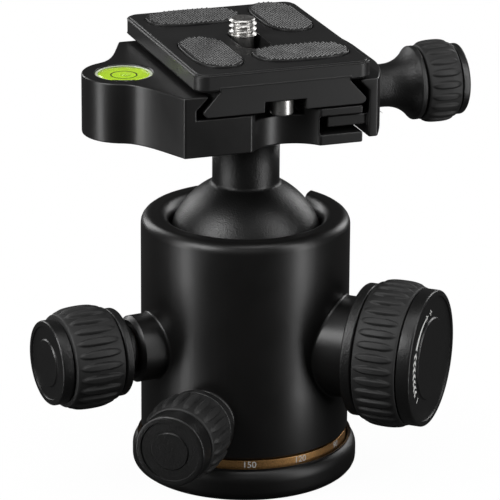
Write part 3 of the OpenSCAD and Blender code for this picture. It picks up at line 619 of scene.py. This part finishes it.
@dataclass(frozen=True)
class Maker:
    """Makes the pieces of one body in one set of axes.

    Attributes:
        body: the body they ride on.
        place: matrix from the pieces' axes to the frame, in mm.
    """

    body: str
    place: Matrix

    def mesh(
        self,
        name: str,
        verts: Sequence[Point],
        faces: Sequence[Sequence[int]],
        key: str,
        angle: float = 35.0,
    ) -> bpy.types.Object:
        """Makes a piece from points and faces.

        Args:
            name: the piece's name.
            verts: points, in mm.
            faces: corner lists.
            key: its finish.
            angle: edges sharper than this stay sharp, in degrees.

        Returns:
            The new object.
        """
        mesh = bpy.data.meshes.new(name)
        mesh.from_pydata([(self.place @ Vector(v)) * MM for v in verts], [], faces)
        mesh.validate()
        mesh.update()
        mesh.polygons.foreach_set("use_smooth", [True] * len(mesh.polygons))
        mesh.set_sharp_from_angle(angle=math.radians(angle))
        obj = bpy.data.objects.new(name, mesh)
        bpy.context.scene.collection.objects.link(obj)
        obj.data.materials.append(finish(key))
        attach(obj, self.body)
        return obj

    def turned(
        self,
        name: str,
        profile: Sequence[Pair],
        key: str,
        steps: int = 96,
        relief: Callable[[float, float, float], float] | None = None,
        angle: float = 35.0,
    ) -> bpy.types.Object:
        """Turns a closed profile about the local Z axis.

        Args:
            name: the piece's name.
            profile: (radius, height) points of the closed outline.
            key: its finish.
            steps: facets round the axis.
            relief: returns the radius at a profile point's radius, height and angle in radians.
            angle: edges sharper than this stay sharp, in degrees.

        Returns:
            The new object.
        """
        verts = []
        for i in range(steps):
            turn = 2 * math.pi * i / steps
            for r, z in profile:
                radius = relief(r, z, turn) if relief else r
                verts.append((radius * math.cos(turn), radius * math.sin(turn), z))
        return self.mesh(name, verts, tube_faces(steps, len(profile)), key, angle)


def dress(
    node: str,
    key: str,
    bevel: float = 0.0,
    segments: int = 2,
    angle: float = 32.0,
    narrow: bool = True,
) -> None:
    """Gives a CAD node its finish and softens its edges.

    Args:
        node: the CAD node.
        key: its finish.
        bevel: width of the edge rounding in mm, 0 for none.
        segments: steps of the rounding.
        angle: only edges sharper than this are rounded, in degrees.
        narrow: whether the rounding shrinks to the node's shortest edge.
    """
    obj = frame["nodes"][node]
    obj.data.materials.clear()
    obj.data.materials.append(finish(key))
    weld = obj.modifiers.new("weld", "WELD")
    weld.merge_threshold = WELD
    obj.data.polygons.foreach_set("use_smooth", [True] * len(obj.data.polygons))
    if not bevel:
        return
    flat = obj.modifiers.new("flat_faces", "DECIMATE")
    flat.decimate_type = "DISSOLVE"
    flat.angle_limit = math.radians(FLAT)
    rounding = obj.modifiers.new("edges", "BEVEL")
    rounding.width = bevel * MM
    rounding.segments = segments
    rounding.limit_method = "ANGLE"
    rounding.angle_limit = math.radians(angle)
    rounding.use_clamp_overlap = narrow
    normals = obj.modifiers.new("normals", "WEIGHTED_NORMAL")
    normals.weight = NORMAL_WEIGHT


# ---------------------------------------------------------------- sub-assemblies


@dataclass(frozen=True)
class Base:
    """Base flange, scale ring with its numbers, and pan spindle.

    Attributes:
        digit_h: height of the numbers.
        digit_gap: room left above the numbers where the ring is too low for them.
        digit_lift: height of the numbers' foot above the flange, below it if negative.
        stand_off: how far the numbers stand off the ring.
        bold: how far the digits' strokes are thickened, as a share of the type size.
        step: degrees between two numbers.
        zero: direction of the number 0, in degrees from -Y towards +X.
    """

    digit_h: float = 1.5
    digit_gap: float = 0.1
    digit_lift: float = -0.05
    stand_off: float = 0.02
    bold: float = 0.012
    step: int = 30
    zero: float = 174.6

    def build(self) -> None:
        """Dresses the base's nodes and adds the numbers."""
        dress("base_flange", "flange", bevel=0.25, segments=3)
        dress("scale_ring", "bronze", bevel=0.15)
        dress("pan_spindle", "alloy")
        dress("spindle_screws", "steel", bevel=0.15)
        dress("thrust_washer", "nylon")
        dress("spindle_retainer", "alloy")
        dress("retainer_screw", "steel", bevel=0.2)
        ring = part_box("scale_ring")[1]
        flange_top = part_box("base_flange")[1].z / MM
        foot = min(flange_top, ring.z / MM - self.digit_h - self.digit_gap)
        for value in range(0, 360, self.step):
            self.number(value, ring.x / MM + self.stand_off, foot + self.digit_lift)

    def number(self, value: int, radius: float, foot: float) -> None:
        """Adds one number, bent round the ring.

        Args:
            value: the number, in degrees.
            radius: radius of its face.
            foot: height of its foot.
        """
        curve = bpy.data.curves.new("number", "FONT")
        curve.body = str(value)
        curve.align_x = "CENTER"
        curve.offset = self.bold
        letters = bpy.data.objects.new("number", curve)
        bpy.context.scene.collection.objects.link(letters)
        bpy.context.view_layer.update()
        graph = bpy.context.evaluated_depsgraph_get()
        flat = bpy.data.meshes.new_from_object(letters.evaluated_get(graph))
        bpy.data.objects.remove(letters)
        scale = self.digit_h / max(v.co.y for v in flat.vertices)
        middle = math.radians(self.zero - value)
        verts = []
        for vertex in flat.vertices:
            angle = middle + vertex.co.x * scale / radius
            height = foot + vertex.co.y * scale
            verts.append((radius * math.sin(angle), -radius * math.cos(angle), height))
        faces = [tuple(p.vertices) for p in flat.polygons]
        bpy.data.meshes.remove(flat)
        Maker("base", Matrix.Identity(4)).mesh(f"scale_number_{value}", verts, faces, "white")


@dataclass(frozen=True)
class Housing:
    """Housing with its bosses, and what it holds.

    Attributes:
        edge: rounding of the housing's edges.
        fillet: radius of the fillet at each boss's root.
        sunk: how far the fillet's hidden corner lies inside the metal.
        reach: share of the wall's radius round a knob's axis in which its boss lies.
        rim: length of a boss's end over which its radius is measured.
        facets: facets of a fillet round its boss.
        arc: facets across a fillet.
    """

    edge: float = 0.35
    fillet: float = 0.6
    sunk: float = 0.1
    reach: float = 0.6
    rim: float = 1.0
    facets: int = 72
    arc: int = 6

    def build(self) -> None:
        """Dresses the housing, the bearing, the springs, the pins and the ball."""
        dress("housing", "body", bevel=self.edge, segments=3)
        for side in (Side.MAIN, Side.FRICTION, Side.PAN):
            self.boss_root(side)
        for node in ("pan_bearing", "spring_plate"):
            dress(node, "alloy")
        for node in ("seat_spring", "main_pin"):
            dress(node, "steel")
        for side in (Side.MAIN, Side.FRICTION, Side.PAN):
            dress(f"{side.value}_bushing", "brass")
        dress("ball_seat", "brass")
        for node in ("friction_plug", "pan_shoe"):
            dress(node, "nylon")
        dress("ball_and_stem", "ball")

    def boss_root(self, side: Side) -> None:
        """Adds the fillet where a boss grows out of the housing's wall.

        Args:
            side: the knob that the boss carries.
        """
        axis = Axis.of_joint(f"{side.value}_knob_turn")
        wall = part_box("housing")[1].y / MM
        points = axis.points("housing")
        beside = [p for p in points if math.hypot(p.x, p.y) < wall * self.reach]
        end = max(p.z for p in beside)
        boss = max(math.hypot(p.x, p.y) for p in beside if p.z > end - self.rim)
        verts: list[Vector] = []
        for i in range(self.facets):
            verts += self.root_section(wall, boss, 2 * math.pi * i / self.facets)
        faces = tube_faces(self.facets, self.arc + 2, flip=True)
        name = f"{side.value}_boss_root"
        Maker("housing", axis.place).mesh(name, verts, faces, "body", angle=50.0)

    def root_section(self, wall: float, boss: float, turn: float) -> list[Vector]:
        """Works out the outline of one section of a boss's fillet.

        Args:
            wall: radius of the housing's wall.
            boss: radius of the boss.
            turn: angle of the section round the boss, in radians.

        Returns:
            The hidden corner, and then the arc from the wall to the boss.
        """
        up, across = boss * math.cos(turn), boss * math.sin(turn)
        corner = Vector((up, across, math.sqrt(wall**2 - across**2)))
        out_wall = Vector((0, across, corner.z)) / wall
        out_boss = Vector((up, across, 0)) / boss
        centre = corner + self.fillet * (out_wall + out_boss) / (1 + out_wall.dot(out_boss))
        section = [corner - self.sunk * (out_wall + out_boss)]
        for j in range(self.arc + 1):
            toward = (out_wall * (1 - j / self.arc) + out_boss * (j / self.arc)).normalized()
            section.append(centre - self.fillet * toward)
        return section


@dataclass(frozen=True)
class Knob:
    """One control knob: stud, core, ribbed rubber grip and cap.

    Attributes:
        side: which knob.
        ribs: number of ribs.
        rib_w: width of one rib.
        rib_share: length of the ribs as a share of the grip's.
        bulge: share of the ribs' height by which the band itself swells in the middle.
        crown: exponent of that swelling, flatter on top below 1.
        flank: share of a rib's half width that its sloping side takes.
        blunt: exponent of the ribs' narrowing towards their ends.
        inset: how far the ribs' tops stay inside the CAD grip.
        edge: rounding of the grip's two ends.
        hollow: inner radius of the grip as a share of the band's.
        rows: rows of facets along the grip.
        rib_facets: facets round the grip for each rib.
        core_edge: rounding of the metal core's edges.
        cap_round: rounding of the cap's rim.
        chamfer: chamfer of the cap's thin edges.
        recess: depth of the cap's sunken face below its rim.
        hub: radius inside which the cap's points bound nothing.
        pinhole: radius of the hole that turning leaves in the cap's middle, too small to see.
    """

    side: Side
    ribs: int
    rib_w: float
    rib_share: float = 0.82
    bulge: float = 0.3
    crown: float = 0.8
    flank: float = 0.45
    blunt: float = 3
    inset: float = 0.05
    edge: float = 0.3
    hollow: float = 0.6
    rows: int = 26
    rib_facets: int = 20
    core_edge: float = 0.16
    cap_round: float = 0.5
    chamfer: float = 0.12
    recess: float = 0.3
    hub: float = 1.0
    pinhole: float = 0.05

    @property
    def name(self) -> str:
        """The first word of the names of the knob's nodes and pieces."""
        return self.side.value

    @property
    def axis(self) -> Axis:
        """The knob's axes."""
        return Axis.of_joint(f"{self.name}_knob_turn")

    @property
    def maker(self) -> Maker:
        """The maker of the knob's pieces."""
        return Maker(f"{self.name}_knob", self.axis.place)

    def build(self) -> None:
        """Dresses the knob, and makes its grip and its cap."""
        dress(f"{self.name}_stud", "steel")
        dress(f"{self.name}_core", "knob", bevel=self.core_edge)
        dress(f"{self.name}_cap", "cap")
        self.grip()
        self.cap()

    def cap_radii(self, far: float) -> Pair:
        """Measures the cap's front.

        Args:
            far: height of the front along the knob's axis.

        Returns:
            The radius of the raised disc, and the inner radius of the raised rim.
        """
        front = [p for p in self.axis.points(f"{self.name}_cap") if p.z > far - TOUCH]
        radii = {round(math.hypot(p.x, p.y), 3) for p in front}
        disc, land = sorted(r for r in radii if r > self.hub)[:2]
        return disc, land

    def cap(self) -> None:
        """Makes the cap with thin edges round its rim, its sunken face and its raised disc."""
        span = self.axis.span(f"{self.name}_cap")
        far, near, rim = span.far, span.near, span.radius
        disc, land = self.cap_radii(far)
        bend, thin = self.cap_round, self.chamfer
        floor = far - self.recess
        profile = [(self.pinhole, near), (rim - thin, near), (rim, near + thin)]
        for a in quarter(5):
            profile.append((rim - bend + bend * math.cos(a), far - bend + bend * math.sin(a)))
        profile += [(land, far), (land - thin, floor), (disc + thin, floor)]
        profile += [(disc, far - thin), (disc - thin, far), (self.pinhole, far)]
        cap = self.maker.turned(f"{self.name}_turned_cap", profile, "cap", steps=128)
        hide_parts(f"{self.name}_cap")

    def grip_profile(self, band: float, middle: float, half: float) -> list[Pair]:
        """Draws the closed outline of the grip's band.

        Args:
            band: radius of the band.
            middle: height of its middle along the knob's axis.
            half: half its length.

        Returns:
            (radius, height) points.
        """
        inner = band * self.hollow
        bend = self.edge * BEND
        outer = [(band - self.edge, -half), (band - bend, -half + bend)]
        for j in range(self.rows + 1):
            outer.append((band, (-1 + 2 * j / self.rows) * (half - self.edge)))
        outer += [(band - bend, half - bend), (band - self.edge, half)]
        placed = [(r, middle + z) for r, z in outer]
        return [(inner, middle - half), *placed, (inner, middle + half)]

    def grip(self) -> None:
        """Makes the rubber grip: a swelling band with raised ribs that sink in at both ends."""
        node = f"{self.name}_grip"
        span = self.axis.span(node)
        band, top = span.end_radius, span.radius - self.inset
        middle, half = (span.near + span.far) / 2, (span.far - span.near) / 2
        rib_half = half * self.rib_share
        swell = (top - band) * self.bulge

        def relief(r: float, z: float, turn: float) -> float:
            """Works out the grip's radius at one place.

            Args:
                r: radius of the profile's point.
                z: its height along the knob's axis.
                turn: angle round the axis, in radians.

            Returns:
                The radius of the band, or of the rib that stands there.
            """
            if r < band:
                return r
            out = band + swell * math.cos(math.pi / 2 * (z - middle) / half) ** self.crown
            taper = 1 - abs((z - middle) / rib_half) ** self.blunt
            if taper <= 0:
                return out
            share = taper**0.5
            width = self.rib_w / 2 * share
            from_rib = (turn * self.ribs / (2 * math.pi)) % 1.0 - 0.5
            away = abs(from_rib * 2 * math.pi * band / self.ribs)
            if away >= width:
                return out
            flank = min(1.0, (1 - away / width) / self.flank)
            return out + (top - band - swell) * share * math.sin(math.pi / 2 * flank)

        profile = self.grip_profile(band, middle, half)
        steps = self.ribs * self.rib_facets
        name = f"{self.name}_rubber_grip"
        grip = self.maker.turned(name, profile, "grip", steps, relief, angle=60.0)
        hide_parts(node)


@dataclass(frozen=True)
class TurnMarks:
    """White arrow that runs round the main knob's cap, with a plus and a minus at its ends.

    Angles are counted from +Y towards +Z, in degrees.

    Attributes:
        knob: the knob that carries it.
        lift: height of the marks above the cap's sunken face.
        radius: radius of the arrow's line.
        head: angle of the arrow's point.
        head_long: length of the arrow's head, to the tips of its barbs.
        head_notch: length of the arrow's head along its middle.
        head_w: half the width of the arrow's head.
        shaft_gap: angle from the arrow's point to the start of its shaft.
        neck: angle where the solid shaft ends and the chevrons begin.
        tail: angle of the last chevron.
        thin: half the shaft's width beside the head.
        widening: what that half width grows by up to the neck.
        rows: quads along the shaft.
        chevrons: number of chevrons.
        chevron_at: place of a chevron's point, as a share of their pitch.
        chevron_share: thickness of a chevron, as a share of their pitch.
        wing: how far a chevron's wings trail behind its point, as an angle.
        half_w: half a chevron's width.
        plus_gap: angle from the arrow's point to the plus.
        minus_gap: angle from the last chevron to the minus.
        across: half the size of a bar across the line: its length, and its width as an angle.
        along: half the size of a bar along the line: its width, and its length as an angle.
    """

    knob: Knob
    lift: float = 0.02
    radius: float = 11.2
    head: float = 101.0
    head_long: float = 7.5
    head_notch: float = 5.0
    head_w: float = 0.95
    shaft_gap: float = 3
    neck: float = 152.0
    tail: float = 207.0
    thin: float = 0.16
    widening: float = 0.42
    rows: int = 24
    chevrons: int = 7
    chevron_at: float = 0.35
    chevron_share: float = 0.55
    wing: float = 4.2
    half_w: float = 0.85
    plus_gap: float = 9
    minus_gap: float = 13
    across: Pair = (0.7, 0.9)
    along: Pair = (0.16, 4.0)

    @property
    def face(self) -> float:
        """Height of the marks along the knob's axis."""
        return self.knob.axis.span("main_cap").far - self.knob.recess + self.lift

    def at(self, radius: float, angle: float) -> tuple[float, float, float]:
        """Returns a point on the face."""
        a = math.radians(angle)
        return (-radius * math.sin(a), radius * math.cos(a), self.face)

    def flat(self, name: str, outline: Sequence[Pair], faces: Sequence[Sequence[int]]) -> None:
        """Adds one mark.

        Args:
            name: its name.
            outline: (offset from the line, angle) of its points.
            faces: corner lists.
        """
        verts = [self.at(self.radius + out, angle) for out, angle in outline]
        self.knob.maker.mesh(f"turn_mark_{name}", verts, faces, "white")

    def build(self) -> None:
        """Makes the arrow and the two signs."""
        start = self.head + self.shaft_gap
        shaft = []
        for i in range(self.rows + 1):
            angle = start + (self.neck - start) * i / self.rows
            shaft.append((self.thin + self.widening * i / self.rows, angle))
        sides = shaft + [(-w, a) for w, a in shaft]
        quads = [(i, i + 1, self.rows + i + 2, self.rows + i + 1) for i in range(self.rows)]
        self.flat("shaft", sides, quads)
        barb, notch = self.head + self.head_long, self.head + self.head_notch
        head = [(0, self.head), (self.head_w, barb), (0, notch), (-self.head_w, barb)]
        self.flat("head", head, [(0, 1, 2, 3)])
        pitch = (self.tail - self.neck) / self.chevrons
        for i in range(self.chevrons):
            self.chevron(i, self.neck + pitch * (i + self.chevron_at), pitch * self.chevron_share)
        plus, minus = self.head - self.plus_gap, self.tail + self.minus_gap
        self.bar("plus_across", plus, *self.across)
        self.bar("plus_along", plus, *self.along)
        self.bar("minus_across", minus, *self.across)

    def chevron(self, index: int, angle: float, thick: float) -> None:
        """Adds one chevron that points towards the arrow's head.

        Args:
            index: its number.
            angle: where its point stands.
            thick: its thickness, as an angle.
        """
        w, trail = self.half_w, angle + self.wing
        outline = [(0, angle), (w, trail), (w, trail + thick)]
        outline += [(0, angle + thick), (-w, trail + thick), (-w, trail)]
        self.flat(f"chevron_{index}", outline, [(0, 1, 2, 3), (0, 3, 4, 5)])

    def bar(self, name: str, angle: float, half_r: float, half_a: float) -> None:
        """Adds one bar of a sign.

        Args:
            name: its name.
            angle: its middle.
            half_r: half its size across the line.
            half_a: half its size along the line, as an angle.
        """
        low, high = angle - half_a, angle + half_a
        outline = [(-half_r, low), (half_r, low), (half_r, high), (-half_r, high)]
        self.flat(name, outline, [(0, 1, 2, 3)])


@dataclass(frozen=True)
class Clamp:
    """Clamp base, jaw and spirit level.

    Attributes:
        edge: rounding of the clamp's edges.
        ring_r: radius of the level's target ring.
        ring_w: width of the ring's line.
        ring_at: lowest and highest place of the ring above the fluid.
        bubble_r: radius of the bubble.
        bubble_flat: height of the bubble's dome as a share of its radius.
        bubble_lift: height of the bubble's foot above the fluid.
        pinhole: radius of the hole that turning leaves in the bubble's top, too small to see.
        bubble_at: place of the bubble from the vial's centre, across and along the clamp.
    """

    edge: float = 0.4
    ring_r: float = 2.9
    ring_w: float = 0.32
    ring_at: Pair = (0.02, 0.1)
    bubble_r: float = 1.3
    bubble_flat: float = 0.4
    bubble_lift: float = 0.02
    pinhole: float = 0.001
    bubble_at: Pair = (0.35, 0.25)

    def build(self) -> None:
        """Dresses the clamp and makes the level's ring and bubble."""
        dress("clamp_base", "clamp", bevel=self.edge, segments=3, narrow=False)
        dress("stem_screw", "steel", bevel=0.2)
        dress("clamp_jaw", "clamp", bevel=self.edge, segments=3, narrow=False)
        dress("level_vial", "vial", bevel=0.12)
        dress("level_fluid", "fluid")
        dress("level_lens", "clear", bevel=0.15)
        low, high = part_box("level_fluid")
        centre = Vector(((low.x + high.x) / 2, (low.y + high.y) / 2, high.z)) / MM
        inner, outer = self.ring_r - self.ring_w / 2, self.ring_r + self.ring_w / 2
        foot, top = self.ring_at
        ring = [(inner, foot), (outer, foot), (outer, top), (inner, top)]
        maker = Maker("clamp", Matrix.Translation(centre))
        maker.turned("level_target_ring", ring, "mark_black", steps=64)
        tall = self.bubble_flat * self.bubble_r
        dome = [(self.bubble_r * math.cos(a), tall * math.sin(a)) for a in quarter(6)]
        bubble = [(self.pinhole, 0), *dome[:-1], (self.pinhole, dome[-1][1])]
        shift = Matrix.Translation(centre + Vector((*self.bubble_at, self.bubble_lift)))
        Maker("clamp", shift).turned("level_bubble", bubble, "clear", steps=40)


@dataclass(frozen=True)
class Plate:
    """Quick-release plate with its pads and screws.

    Attributes:
        edge: rounding of the plate's edges.
        pitch: pitch of the camera screw's thread.
        depth: depth of the thread.
        steep: steepness of the thread's flanks; above 1 leaves a flat root.
        lead: length of the cone at the screw's tip.
        tip_share: radius of the screw's flat tip as a share of the thread's.
        tip_long: length of the tip over which the thread's radius is measured.
        reach: length below the tip in which the thread's foot lies.
        core: radius of the thread's hidden inside.
        rows: rows of facets along the thread.
        facets: facets round the thread.
        knurl: distance between two points of the pads' knurling.
        knurl_h: height of the knurling's points.
        sunk: how far the points' feet lie in the pad.
        margin: bare rim of a pad.
        squareness: exponent of the pads' rounded outline.
    """

    edge: float = 0.25
    pitch: float = 1.27
    depth: float = 0.62
    steep: float = 1.25
    lead: float = 0.55
    tip_share: float = 0.6
    tip_long: float = 0.6
    reach: float = 5
    core: float = 0.3
    rows: int = 60
    facets: int = 72
    knurl: float = 1.15
    knurl_h: float = 0.36
    sunk: float = 0.02
    margin: float = 0.5
    squareness: float = 2.78

    def build(self) -> None:
        """Dresses the plate and makes the thread and the knurled pads."""
        dress("plate", "plate", bevel=self.edge, segments=3, angle=40, narrow=False)
        dress("plate_pads", "pad", bevel=0.15)
        dress("stop_screws", "screw", bevel=0.12)
        dress("screw_clip", "steel")
        dress("camera_screw", "screw")
        self.thread()
        self.pads()

    def thread(self) -> None:
        """Makes the camera screw with a real helical thread above the plate."""
        axis = Axis.of_joint("camera_screw_turn")
        maker = Maker("camera_screw", axis.place)
        points = axis.points("camera_screw")
        tip = max(p.z for p in points)
        major = max(math.hypot(p.x, p.y) for p in points if p.z > tip - self.tip_long)
        upper = [p for p in points if p.z > tip - self.reach]
        foot = min(p.z for p in upper if abs(math.hypot(p.x, p.y) - major) < TOUCH)
        profile = [(self.core, foot), (major, foot)]
        profile += [(major, foot + (tip - foot) * i / self.rows) for i in range(1, self.rows + 1)]
        profile += [(major * self.tip_share, tip), (self.core, tip)]

        def relief(r: float, z: float, turn: float) -> float:
            """Works out the screw's radius at one place.

            Args:
                r: radius of the profile's point.
                z: its height along the screw's axis.
                turn: angle round the axis, in radians.

            Returns:
                The radius in the thread's V groove, or on the tip's cone.
            """
            if r < major:
                return r
            phase = ((z - foot) / self.pitch - turn / (2 * math.pi)) % 1.0
            inward = min(1.0, max(0.0, self.steep * (1 - 2 * abs(phase - 0.5))))
            cone = max(0.0, z - tip + self.lead)
            return min(major - self.depth * inward, major - cone)

        maker.turned("camera_thread", profile, "screw", self.facets, relief, angle=50.0)
        head = frame["nodes"]["camera_screw"].data.polygons
        kept = [tuple(f.vertices) for f in head if max(points[i].z for i in f.vertices) < foot + TOUCH]
        body = maker.mesh("camera_screw_head", points, kept, "screw")
        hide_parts("camera_screw")

    def pads(self) -> None:
        """Covers the pads with small pyramids inside each pad's own outline."""
        across = Axis.of_joint("clamp_knob_turn").place.to_3x3() @ Vector((0, 0, 1))
        axes = Matrix.Rotation(math.atan2(across.y, across.x), 4, "Z")
        back = axes.inverted()
        data = frame["nodes"]["plate_pads"].data
        points = [back @ (v.co / MM) for v in data.vertices]
        verts: list[Point] = []
        faces: list[tuple[int, ...]] = []
        half = self.knurl / 2
        for solid in islands(points, [tuple(p.vertices) for p in data.polygons]):
            for x, y, top in self.pad_points(solid):
                start = len(verts)
                for dx, dy in ((half, 0), (0, half), (-half, 0), (0, -half)):
                    verts.append((x + dx, y + dy, top - self.sunk))
                verts.append((x, y, top + self.knurl_h))
                faces += [(start + k, start + (k + 1) % 4, start + 4) for k in range(4)]
        Maker("plate", axes).mesh("pad_knurl", verts, faces, "pad", angle=20.0)

    def pad_points(self, solid: Sequence[Vector]) -> list[tuple[float, float, float]]:
        """Spreads the knurling over one pad in a diamond pattern.

        Args:
            solid: the pad's points.

        Returns:
            The middle of each of its pyramids, at the height of the pad's top.
        """
        x0, x1 = min(p.x for p in solid), max(p.x for p in solid)
        y0, y1 = min(p.y for p in solid), max(p.y for p in solid)
        top = max(p.z for p in solid)
        cx, cy = (x0 + x1) / 2, (y0 + y1) / 2
        rx, ry = (x1 - x0) / 2 - self.margin, (y1 - y0) / 2 - self.margin
        half = self.knurl / 2
        reach = int((rx + ry) / self.knurl) + 1
        middles = []
        for i in range(-reach, reach + 1):
            for j in range(-reach, reach + 1):
                x, y = (i + j) * half, (i - j) * half
                if abs(x / rx) ** self.squareness + abs(y / ry) ** self.squareness <= 1:
                    middles.append((cx + x, cy + y, top))
        return middles


# ---------------------------------------------------------------- studio


LAMP_AIM = 0.055  # height that the lamps face, in metres


@dataclass(frozen=True)
class Lamp:
    """A softbox that faces the object.

    Attributes:
        name: its name.
        around: direction from the camera's, in degrees, positive to its right.
        elevation: height above the horizon, in degrees.
        distance: distance from the object, in metres.
        size: width and height, in metres.
        power: power, in watts.
    """

    name: str
    around: float
    elevation: float
    distance: float
    size: Pair
    power: float

    def build(self, azimuth: float) -> None:
        """Hangs the lamp.

        Args:
            azimuth: the camera's direction from -Y towards +X, in degrees.
        """
        data = bpy.data.lights.new(self.name, "AREA")
        data.shape = "RECTANGLE"
        data.size, data.size_y = self.size
        data.energy = self.power
        obj = bpy.data.objects.new(self.name, data)
        bpy.context.scene.collection.objects.link(obj)
        a = math.radians(azimuth + self.around)
        e = math.radians(self.elevation)
        direction = Vector((math.sin(a) * math.cos(e), -math.cos(a) * math.cos(e), math.sin(e)))
        obj.location = Vector((0, 0, LAMP_AIM)) + direction * self.distance
        obj.rotation_euler = direction.to_track_quat("Z", "Y").to_euler()


LAMPS = (
    Lamp("left_strip", -66, 14, 0.28, (0.07, 0.50), 0.65),
    Lamp("right_strip", 62, 14, 0.28, (0.07, 0.50), 0.65),
    Lamp("left_key", -48, 36, 0.5, (0.12, 0.20), 1.0),
    Lamp("top_softbox", 0, 80, 0.7, (0.5, 0.3), 1.2),
    Lamp("front_softbox", 5, 35, 0.9, (0.5, 0.4), 0.3),
    Lamp("left_back", -138, 22, 0.5, (0.16, 0.3), 0.7),
    Lamp("right_back", 138, 22, 0.5, (0.16, 0.3), 0.7),
)


@dataclass(frozen=True)
class Studio:
    """Camera, surroundings, floor and lamps.

    Attributes:
        azimuth: the camera's direction from -Y towards +X, in degrees.
        elevation: its height above the horizon, in degrees.
        roll: its roll, in degrees.
        distance: its distance, in metres.
        lens: its focal length on a 36 mm sensor, in mm.
        target: the point it looks at: across the view, and height, in metres.
        ambient: brightness of the surroundings as the object sees them.
        table: radius of the round table under the object, in metres.
        sides: corners of the table's outline.
        clear: share of that radius at which the table starts to fade.
        fade: share of plain white in the table's middle, where the rest is its shading.
        paper: how light the table is where the camera sees its shading.
        bounce: how light the table is to the object.
    """

    azimuth: float = 21.5
    elevation: float = 19.12
    roll: float = 0.40
    distance: float = 0.8401
    lens: float = 263.6
    target: Pair = (0.00107, 0.05207)
    ambient: float = 0.045
    table: float = 0.075
    sides: int = 96
    clear: float = 0.6
    fade: float = 0.97
    paper: float = 0.95
    bounce: float = 0.05

    def build(self) -> None:
        """Builds the studio."""
        bpy.context.scene.view_settings.view_transform = "Standard"
        self.camera()
        self.surroundings()
        self.floor()
        for lamp in LAMPS:
            lamp.build(self.azimuth)

    def camera(self) -> None:
        """Places the camera."""
        a, e, roll = (math.radians(v) for v in (self.azimuth, self.elevation, self.roll))
        forward = Vector((-math.sin(a) * math.cos(e), math.cos(a) * math.cos(e), -math.sin(e)))
        right = Vector((math.cos(a), math.sin(a), 0))
        up = right.cross(forward)
        target = right * self.target[0] + Vector((0, 0, self.target[1]))
        data = bpy.data.cameras.new("camera")
        data.lens = self.lens
        data.sensor_width = 36.0
        data.clip_start = 0.01
        cam = bpy.data.objects.new("camera", data)
        bpy.context.scene.collection.objects.link(cam)
        across = math.cos(roll) * right + math.sin(roll) * up
        upward = -math.sin(roll) * right + math.cos(roll) * up
        turn = Matrix((across, upward, -forward)).transposed().to_4x4()
        cam.matrix_world = Matrix.Translation(target - forward * self.distance) @ turn
        bpy.context.scene.camera = cam

    def surroundings(self) -> None:
        """Makes the surroundings white to the camera, also through clear pieces, and dim elsewhere."""
        world = bpy.data.worlds.new("world")
        bpy.context.scene.world = world
        world.use_nodes = True
        tree = world.node_tree
        tree.nodes.clear()
        out = tree.nodes.new("ShaderNodeOutputWorld")
        mix = tree.nodes.new("ShaderNodeMixShader")
        path = tree.nodes.new("ShaderNodeLightPath")
        dim = tree.nodes.new("ShaderNodeBackground")
        dim.inputs["Strength"].default_value = self.ambient
        white = tree.nodes.new("ShaderNodeBackground")
        for node in (dim, white):
            node.inputs["Color"].default_value = (1, 1, 1, 1)
        seen = tree.nodes.new("ShaderNodeMath")
        seen.operation = "MAXIMUM"
        tree.links.new(path.outputs["Is Camera Ray"], seen.inputs[0])
        tree.links.new(path.outputs["Is Transmission Ray"], seen.inputs[1])
        tree.links.new(seen.outputs[0], mix.inputs[0])
        tree.links.new(dim.outputs[0], mix.inputs[1])
        tree.links.new(white.outputs[0], mix.inputs[2])
        tree.links.new(mix.outputs[0], out.inputs[0])

    def floor(self) -> None:
        """Lays a round table that keeps the object's shadow and fades into the white round it."""
        turns = [2 * math.pi * i / self.sides for i in range(self.sides)]
        corners = [(math.cos(a) * self.table, math.sin(a) * self.table, 0) for a in turns]
        mesh = bpy.data.meshes.new("table")
        mesh.from_pydata(corners, [], [tuple(range(self.sides))])
        mesh.materials.append(self.table_finish())
        obj = bpy.data.objects.new("table", mesh)
        bpy.context.scene.collection.objects.link(obj)

    def table_finish(self) -> bpy.types.Material:
        """Makes the table white to the camera and dark to the object.

        Returns:
            The table's material.
        """
        sheet = NodeSheet("table_white")
        bounce = sheet.add("ShaderNodeBsdfDiffuse", Color=(*[self.bounce] * 3, 1))
        shaded = sheet.add("ShaderNodeBsdfDiffuse", Color=(*[self.paper] * 3, 1))
        glow = sheet.add("ShaderNodeEmission", Color=(1, 1, 1, 1), Strength=1.0)
        path = sheet.add("ShaderNodeLightPath")
        reach = sheet.add("ShaderNodeVectorMath", operation="LENGTH")
        sheet.join(sheet.coords.outputs["Object"], reach.inputs[0])
        fading = (self.table * self.clear, self.table)
        share = sheet.span(reach.outputs["Value"], (self.fade, 1.0), fading)
        seen = sheet.blend(share, shaded, glow)
        return sheet.surface(sheet.blend(path.outputs["Is Camera Ray"], bounce, seen))


KNOBS = (
    Knob(Side.MAIN, ribs=36, rib_w=1.9),
    Knob(Side.FRICTION, ribs=24, rib_w=1.9),
    Knob(Side.PAN, ribs=20, rib_w=1.8),
    Knob(Side.CLAMP, ribs=20, rib_w=1.8),
)


def main() -> None:
    """Builds the part's looks in order."""
    logging.basicConfig(level=logging.INFO, format="%(message)s")
    steps: list[tuple[str, Callable[[], None]]] = [
        ("base", Base().build),
        ("housing", Housing().build),
        *[(f"{knob.name} knob", knob.build) for knob in KNOBS],
        ("turning marks", TurnMarks(KNOBS[0]).build),
        ("clamp", Clamp().build),
        ("plate", Plate().build),
        ("studio", Studio().build),
    ]
    for label, step in steps:
        step()
        LOG.info("built %s", label)


if __name__ == "__main__":
    main()
